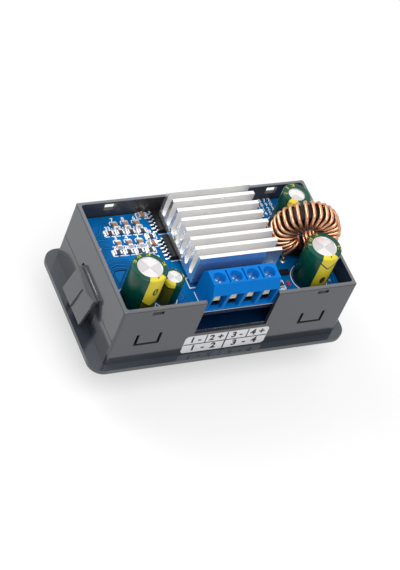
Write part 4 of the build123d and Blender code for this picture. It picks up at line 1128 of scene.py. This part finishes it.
def holes():
    """Dark dots for the holes, plated rings round the bare ones, and printed dots at the board's left edge."""
    dark, bare, dots = bmesh.new(), bmesh.new(), bmesh.new()
    for x, y in COVERED_HOLES + BARE_HOLES:
        prism(dark, circle(x, y, HOLE_R, HOLE_SIDES), ON_BOARD, PRINT_TOP)
    for x, y in BARE_HOLES:
        inner, outer = (circle(x, y, radius, HOLE_SIDES) for radius in (HOLE_R - PLATE_IN, HOLE_R * PLATE_OUT))
        frame_solid(bare, inner, outer, ON_BOARD, PRINT_TOP)
    for x, y in EDGE_DOTS:
        prism(dots, circle(x, y, DOT_R, DOT_SIDES), ON_BOARD, PRINT_TOP)
    piece("hole_shadows", dark, GAP_AND_SHADE_BLUE)
    piece("plated_holes", bare, FINISHES["tin"])
    piece("edge_dots", dots, PRINT_WHITE)


holes()


# Copper under the mask: a lighter field or line with a darker gap round it
FIELD = [(-29.9, -1.0), (-26.4, -1.0), (-28.0, -2.9), (-30.0, -5.8), (-30.5, -2.2)]
TRACKS = [
    [(-33.4, 9.6), (-31.1, 9.8), (-28.7, 9.9), (-27.4, 8.9)],
    [(-33.4, 7.6), (-31.3, 7.8), (-29.1, 6.9), (-27.4, 7.0)],
    [(-33.2, 12.6), (-30.7, 11.4), (-29.6, 12.0), (-28.2, 14.8)],
    [(-33.4, 1.6), (-31.2, 1.4), (-29.0, 2.5), (-25.4, 2.1), (-23.6, 0.6)],
    [(-33.4, 0.2), (-31.0, 0.2), (-28.8, 1.2), (-26.2, 1.0), (-25.0, 0.2)],
    [(-33.4, -3.0), (-31.9, -1.6), (-30.6, -0.2), (-28.6, 0.2), (-26.4, -0.1), (-24.8, -1.4)],
    [(-33.0, -6.6), (-31.2, -5.0), (-31.2, -2.0)],
    [(-21.4, -1.6), (-19.8, -3.2), (-14.6, -3.2)],
    [(-14.4, -9.8), (-13.6, -12.4), (-16.4, -13.6)],
    [(16.4, 4.3), (17.4, 5.3), (17.4, 7.4), (18.4, 8.4)],
    [(30.6, 2.6), (32.2, 4.2), (32.2, 12.4), (30.9, 13.7)],
    [(29.6, -16.6), (31.4, -14.6), (32.6, -9.8)],
    [(30.8, -16.8), (32.6, -14.4), (33.4, -10.2)],
]
TRACK_W = 0.42
TRACK_GAP = 0.86
FIELD_GAP = 0.3

# How far each stands above the board, and the painted shade beside a package, a darker strip: its width, how much
# shorter than the package it is, and the radius of its corners
GAP_RISE = 0.006
FIELD_RISE = 0.015
TRACK_RISE = 0.02
FIELD_GAP_RISE = 0.022
SHADE_STRIP_W = 1.5
SHADE_STRIP_SHORT = 0.6
SHADE_STRIP_R = 0.2


def tracks():
    """Lighter lines and a field of copper under the mask, on their darker gaps, with painted shade in strips beside the
    packages.
    """
    gaps_and_shade, lines = bmesh.new(), bmesh.new()
    for route in TRACKS:
        ribbon(gaps_and_shade, route, TRACK_GAP, ON_BOARD, BOARD_TOP + GAP_RISE)
        ribbon(lines, route, TRACK_W, ON_BOARD, BOARD_TOP + TRACK_RISE)
    prism(lines, list(reversed(FIELD)), ON_BOARD, BOARD_TOP + FIELD_RISE)
    ribbon(gaps_and_shade, FIELD + FIELD[:2], FIELD_GAP, ON_BOARD, BOARD_TOP + FIELD_GAP_RISE)
    # Painted shade: darker strips on the board beside each package, under its leads
    for low, high in loose_boxes("transistor_bodies"):
        for x in (low.x - SHADE_STRIP_W / 2, high.x + SHADE_STRIP_W / 2):
            shade_strip = round_box(x, (low.y + high.y) / 2, SHADE_STRIP_W, high.y - low.y - SHADE_STRIP_SHORT, SHADE_STRIP_R)
            prism(gaps_and_shade, shade_strip, ON_BOARD, BOARD_TOP + GAP_RISE)
    piece("track_gaps_and_shade", gaps_and_shade, GAP_AND_SHADE_BLUE)
    piece("tracks", lines, TRACE_BLUE)


tracks()


# White print on the board: widths of its lines, its distances from what they go round, how a chip's bracket is cut
# and where it starts, and the dot beside a package's corner
PRINT_LINE = 0.23
THIN_LINE = 0.2
CHIP_AIR_X = 0.62
CHIP_AIR_Y = 0.42
CHIP_CUT = 0.22
CHIP_GAPS = {"chip_capacitors": 0.5, "chip_resistors": 0.25}
CAN_AIR = (0.18, 0.38)
PACKAGE_AIR_X = 0.2
PACKAGE_AIR_Y = 0.35
PACKAGE_DOT_X = 1.75
PACKAGE_DOT_Y = 0.1
PACKAGE_DOT_R = 0.28
HOUSING_AIR = 0.35
HOUSING_LINE = (-11.0, -16.4)
RING_CORNER = [(-7.2, -3.7), (-8.4, -3.5), (-8.4, -2.2)]
PRINTED_LINES = [
    ([(-9.3, -6.1), (-10.7, -6.1), (-10.7, -9.6), (-9.0, -9.6)], 0.3),
    ([(-31.5, 5.2), (-31.9, 6.0), (-31.5, 6.9), (-30.9, 7.0)], 0.24),
    ([(17.6, 18.0), (21.3, 18.0), (21.3, 12.0), (17.6, 12.0)], THIN_LINE),
]

# Plain numbers: height, size of a letter to its height, a block of digits by the rear capacitor, and how far above
# a chip its number stands
NUMBER_H = 1.25
LETTER_SIZE = 1.4
NUMBER_BOLD = 0.05
DIGITS = ("4 5 6", "1 2 3", "8 9 0", "3 7 2")
DIGITS_AT = (22.4, 12.9)
DIGITS_PITCH = (1.45, 1.6)
FIRST_RESISTOR = 20
ABOVE_UPRIGHT = 2.3
ABOVE_LEVEL = 1.75


def half_outline(work, place, side, gap):
    """A bracket round one end of a chip, with cut corners; gap is how far from the chip's middle it starts."""
    far, wide = side * (CHIP_HALF + CHIP_AIR_X), CHIP_WIDE + CHIP_AIR_Y
    near = side * gap
    inset = far - side * CHIP_CUT
    ribbon(work, [(near, -wide), (inset, -wide), (far, CHIP_CUT - wide), (far, wide - CHIP_CUT), (inset, wide),
                  (near, wide)], PRINT_LINE, ON_BOARD, PRINT_TOP, place)


def add_number(work, text, height, place, bold):
    """Adds a plain number or sign in print to the work, on the face that place leads to."""
    curve = bpy.data.curves.new("number", "FONT")
    curve.body = text
    curve.size = height * MM * LETTER_SIZE
    curve.align_x = "CENTER"
    curve.align_y = "CENTER"
    curve.offset = bold * MM
    curve.resolution_u = 2
    curve.extrude = PRINT_T / 2 * MM
    holder = bpy.data.objects.new("number", curve)
    bpy.context.scene.collection.objects.link(holder)
    bpy.context.view_layer.update()
    mesh = bpy.data.meshes.new_from_object(holder)
    mesh.transform(place)
    work.from_mesh(mesh)
    bpy.data.objects.remove(holder)
    bpy.data.curves.remove(curve)
    bpy.data.meshes.remove(mesh)


def board_number(work, text, x, y):
    """A plain number on the board."""
    add_number(work, text, NUMBER_H, Matrix.Translation(point(x, y, BOARD_TOP + PRINT_T / 2)), NUMBER_BOLD)


def board_print():
    """Outlines round chips, cans and packages, lines by the terminal and the ring, and plain numbers."""
    work = bmesh.new()

    def line(route, width):
        """A flat line of print on the board."""
        ribbon(work, route, width, ON_BOARD, PRINT_TOP)

    for kind, middle, along, height in CHIPS:
        for side in (-1, 1):
            half_outline(work, chip_matrix(middle, along), side, CHIP_GAPS[kind])
    for name in CAPACITORS:
        low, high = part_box(f"sleeve_{name}")
        middle = (low + high) / 2 / MM
        radius = (high.x - low.x) / 2 / MM
        inner, outer = (circle(middle.x, middle.y, radius + air, OUTLINE_SIDES) for air in CAN_AIR)
        frame_solid(work, inner, outer, ON_BOARD, PRINT_TOP)
    for low, high in loose_boxes("transistor_bodies"):
        left, right = low.x - PACKAGE_AIR_X, high.x + PACKAGE_AIR_X
        for y in (low.y - PACKAGE_AIR_Y, high.y + PACKAGE_AIR_Y):
            line([(left, y), (right, y)], PRINT_LINE)
        dot = circle(low.x - PACKAGE_DOT_X, high.y - PACKAGE_DOT_Y, PACKAGE_DOT_R, DOT_SIDES)
        prism(work, dot, ON_BOARD, PRINT_TOP)
    housing_low, housing_high = (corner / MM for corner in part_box("terminal_housing"))
    for x in (housing_low.x - HOUSING_AIR, housing_high.x + HOUSING_AIR):
        line([(x, y) for y in HOUSING_LINE], THIN_LINE)
    for route, width in PRINTED_LINES:
        line(route, width)
    line([(CORE.x + x, CORE.y + y) for x, y in RING_CORNER], THIN_LINE)
    for row, digits in enumerate(DIGITS):
        for column, digit in enumerate(digits.split()):
            board_number(work, digit, DIGITS_AT[0] + column * DIGITS_PITCH[0], DIGITS_AT[1] + row * DIGITS_PITCH[1])
    counts = {"chip_capacitors": 0, "chip_resistors": FIRST_RESISTOR}
    for kind, middle, along, height in CHIPS:
        counts[kind] += 1
        above = ABOVE_UPRIGHT if abs(along.y) > MOSTLY else ABOVE_LEVEL
        board_number(work, str(counts[kind]), middle.x, middle.y + above)
    piece("board_print", work, PRINT_WHITE, smooth_below=30)


board_print()


# Pale top edge of the notch: a line of uneven width along the inner edge of its floor
NOTCH_Z = 8.8
NOTCH_X = 10.9
WALL_INNER_Y = -18.3
EDGE_LINE_STEPS = 44
EDGE_LINE_NEAR = 0.096
EDGE_LINE_FAR = (0.14, 0.34)
EDGE_LINE_RISE = 0.02


def worn_edge():
    """Short pale strips of uneven width, side by side, along the moulding's edge."""
    work = bmesh.new()
    luck = random.Random(7)
    near = WALL_INNER_Y - EDGE_LINE_NEAR
    for i in range(EDGE_LINE_STEPS):
        left = -NOTCH_X + 2 * NOTCH_X * i / EDGE_LINE_STEPS
        right = left + 2 * NOTCH_X / EDGE_LINE_STEPS
        far = WALL_INNER_Y - luck.uniform(*EDGE_LINE_FAR)
        prism(work, [(left, far), (right, far), (right, near), (left, near)], NOTCH_Z - SINK_IN, NOTCH_Z + EDGE_LINE_RISE)
    piece("worn_edge", work, PALE_EDGE_GREY)


worn_edge()


# Label print: a plain grid with plain numbers and signs, drawn on the label's own leaning face
LABEL_LOW, LABEL_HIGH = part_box("label")
LABEL_LEAN = 0.3
INK_BACK = -0.03
INK_FRONT = 0.02
GRID_EDGE = 0.15
GRID_END = 0.12
ROW_LINE = 0.36
CELL_LINE = 0.34
MIDDLE_LINE = 0.42
SIGN_H = 2.3
SIGN_BOLD = 0.13
UPPER_SIGNS = ("1 -", "2 +", "3 -", "4 +")
LOWER_SIGNS = ("1  -  2", "3  -  4")


def label_place():
    """Lays flat work on the label: X along the wall, Y up it, Z out of it."""
    lean = math.radians(LABEL_LEAN)
    out = Vector((0, -math.cos(lean), math.sin(lean)))
    up = Vector((0, math.sin(lean), math.cos(lean)))
    face = Matrix((Vector((1, 0, 0)), up, out)).transposed().to_4x4()
    foot = Vector(((LABEL_LOW.x + LABEL_HIGH.x) / 2, LABEL_LOW.y, LABEL_LOW.z))
    return Matrix.Translation(foot) @ face


def label_print():
    """A row of four cells above a row of two, with plain numbers and signs in them."""
    work = bmesh.new()
    place = label_place()
    wide = (LABEL_HIGH.x - LABEL_LOW.x) / MM
    high = (LABEL_HIGH.z - LABEL_LOW.z) / MM
    left, right = -wide / 2 + GRID_EDGE, wide / 2 - GRID_EDGE
    split = high / 2

    def line(route, width):
        """A flat line of ink on the label's face."""
        ribbon(work, route, width, INK_BACK, INK_FRONT, place)

    line([(left, split), (right, split)], ROW_LINE)
    for share in (0.25, 0.75):
        x = left + (right - left) * share
        line([(x, split), (x, high - GRID_END)], CELL_LINE)
    line([(0, GRID_END), (0, high - GRID_END)], MIDDLE_LINE)
    for signs, y in ((UPPER_SIGNS, (split + high) / 2), (LOWER_SIGNS, split / 2)):
        for cell, sign in enumerate(signs):
            x = left + (right - left) * (cell + 0.5) / len(signs)
            spot = place @ Matrix.Translation(point(x, y, (INK_BACK + INK_FRONT) / 2))
            add_number(work, sign, SIGN_H, spot, SIGN_BOLD)
    piece("label_print", work, PRINT_BLACK)


label_print()


# Studio: pale floor, soft light and the photograph's camera. The floor's half side is in millimetres; the lamps'
# places, aims and sizes are in metres and their power is in watts
FLOOR_HALF = 1500
FLOOR_GREY = 0.42
FLOOR_GLOW = 0.52
WORLD_LIGHT = 0.50
NEAREST = 0.01
FARTHEST = 20
LAMPS = {
    "key_lamp": {"spot": (-0.05, -0.30, 0.60), "aim": (0, 0, 0.01), "size": 0.70, "power": 3.3},
    "rear_lamp": {"spot": (-0.35, 0.48, 0.50), "aim": (0, 0, 0.02), "size": 0.50, "power": 2.5},
    "back_panel": {"spot": (0.31, 0.37, 0.51), "aim": (0, 0, 0.02), "size": 0.60, "power": 0.5},
}


def camera():
    """The camera of the photograph: turned round the part, tipped, rolled and moved a little aside."""
    azimuth, elevation, roll = (math.radians(v) for v in (CAMERA_AZIMUTH, CAMERA_ELEVATION, CAMERA_ROLL))
    back = Vector((math.sin(azimuth) * math.cos(elevation), -math.cos(azimuth) * math.cos(elevation),
                   math.sin(elevation)))
    level = (-back).cross(UP).normalized()
    down = (-back).cross(level)
    right = level * math.cos(roll) + down * math.sin(roll)
    below = down * math.cos(roll) - level * math.sin(roll)
    turn = Matrix((right, -below, back)).transposed().to_4x4()
    spot = (back * CAMERA_DISTANCE - right * CAMERA_ASIDE - below * CAMERA_BELOW) * MM
    data = bpy.data.cameras.new("camera")
    data.sensor_width = SENSOR
    data.lens = FOCAL_PIXELS / PHOTO_HEIGHT * SENSOR
    data.clip_start = NEAREST
    data.clip_end = FARTHEST
    made = bpy.data.objects.new("camera", data)
    made.matrix_world = Matrix.Translation(spot) @ turn
    bpy.context.scene.collection.objects.link(made)
    bpy.context.scene.camera = made


def floor():
    """A wide pale floor under the lowest point, white to the eye and with a shadow, and clear from below."""
    work = bmesh.new()
    level = cad_box[0][2] / MM
    corners = ((-FLOOR_HALF, -FLOOR_HALF), (FLOOR_HALF, -FLOOR_HALF), (FLOOR_HALF, FLOOR_HALF),
               (-FLOOR_HALF, FLOOR_HALF))
    work.faces.new([work.verts.new(point(x, y, level)) for x, y in corners])
    mesh = bpy.data.meshes.new("floor")
    work.to_mesh(mesh)
    work.free()
    made = bpy.data.objects.new("floor", mesh)
    bpy.context.scene.collection.objects.link(made)
    material = bpy.data.materials.new("floor_white")
    material.use_nodes = True
    tree = material.node_tree
    tree.nodes.clear()
    output = add_node(tree, "ShaderNodeOutputMaterial")
    matt = add_node(tree, "ShaderNodeBsdfDiffuse")
    matt.inputs["Color"].default_value = (FLOOR_GREY, FLOOR_GREY, FLOOR_GREY, 1)
    glow = add_node(tree, "ShaderNodeEmission")
    glow.inputs["Strength"].default_value = FLOOR_GLOW
    ray = add_node(tree, "ShaderNodeLightPath")
    seen = add_node(tree, "ShaderNodeMath", operation="MAXIMUM")
    tree.links.new(ray.outputs["Is Camera Ray"], seen.inputs[0])
    tree.links.new(ray.outputs["Is Glossy Ray"], seen.inputs[1])
    lit = add_node(tree, "ShaderNodeMixShader")
    both = add_node(tree, "ShaderNodeAddShader")
    tree.links.new(matt.outputs[0], both.inputs[0])
    tree.links.new(glow.outputs[0], both.inputs[1])
    tree.links.new(seen.outputs[0], lit.inputs[0])
    tree.links.new(matt.outputs[0], lit.inputs[1])
    tree.links.new(both.outputs[0], lit.inputs[2])
    clear = add_node(tree, "ShaderNodeBsdfTransparent")
    under = add_node(tree, "ShaderNodeMixShader")
    side = add_node(tree, "ShaderNodeNewGeometry")
    tree.links.new(side.outputs["Backfacing"], under.inputs[0])
    tree.links.new(lit.outputs[0], under.inputs[1])
    tree.links.new(clear.outputs[0], under.inputs[2])
    tree.links.new(under.outputs[0], output.inputs["Surface"])
    mesh.materials.append(material)


def lamp(name, spot, aim, size, power):
    """A round soft lamp at a spot, turned towards its aim."""
    data = bpy.data.lights.new(name, "AREA")
    data.shape = "DISK"
    data.size = size
    data.energy = power
    made = bpy.data.objects.new(name, data)
    heading = Vector(aim) - Vector(spot)
    made.matrix_world = Matrix.Translation(Vector(spot)) @ heading.to_track_quat("-Z", "Y").to_matrix().to_4x4()
    bpy.context.scene.collection.objects.link(made)


def world():
    """Even light from all round, plain white where the camera or clear plastic sees it."""
    made = bpy.data.worlds.new("studio")
    bpy.context.scene.world = made
    made.use_nodes = True
    tree = made.node_tree
    sky = tree.nodes["Background"]
    sky.inputs["Color"].default_value = (1, 1, 1, 1)
    ray = add_node(tree, "ShaderNodeLightPath")
    seen = add_node(tree, "ShaderNodeMath", operation="MAXIMUM")
    tree.links.new(ray.outputs["Is Camera Ray"], seen.inputs[0])
    tree.links.new(ray.outputs["Is Transmission Ray"], seen.inputs[1])
    level = add_node(tree, "ShaderNodeMapRange")
    level.inputs["To Min"].default_value = WORLD_LIGHT
    level.inputs["To Max"].default_value = 1.0
    tree.links.new(seen.outputs[0], level.inputs["Value"])
    tree.links.new(level.outputs[0], sky.inputs["Strength"])


camera()
floor()
world()
for lamp_name, settings in LAMPS.items():
    lamp(lamp_name, **settings)

bpy.context.scene.view_settings.view_transform = "Standard"
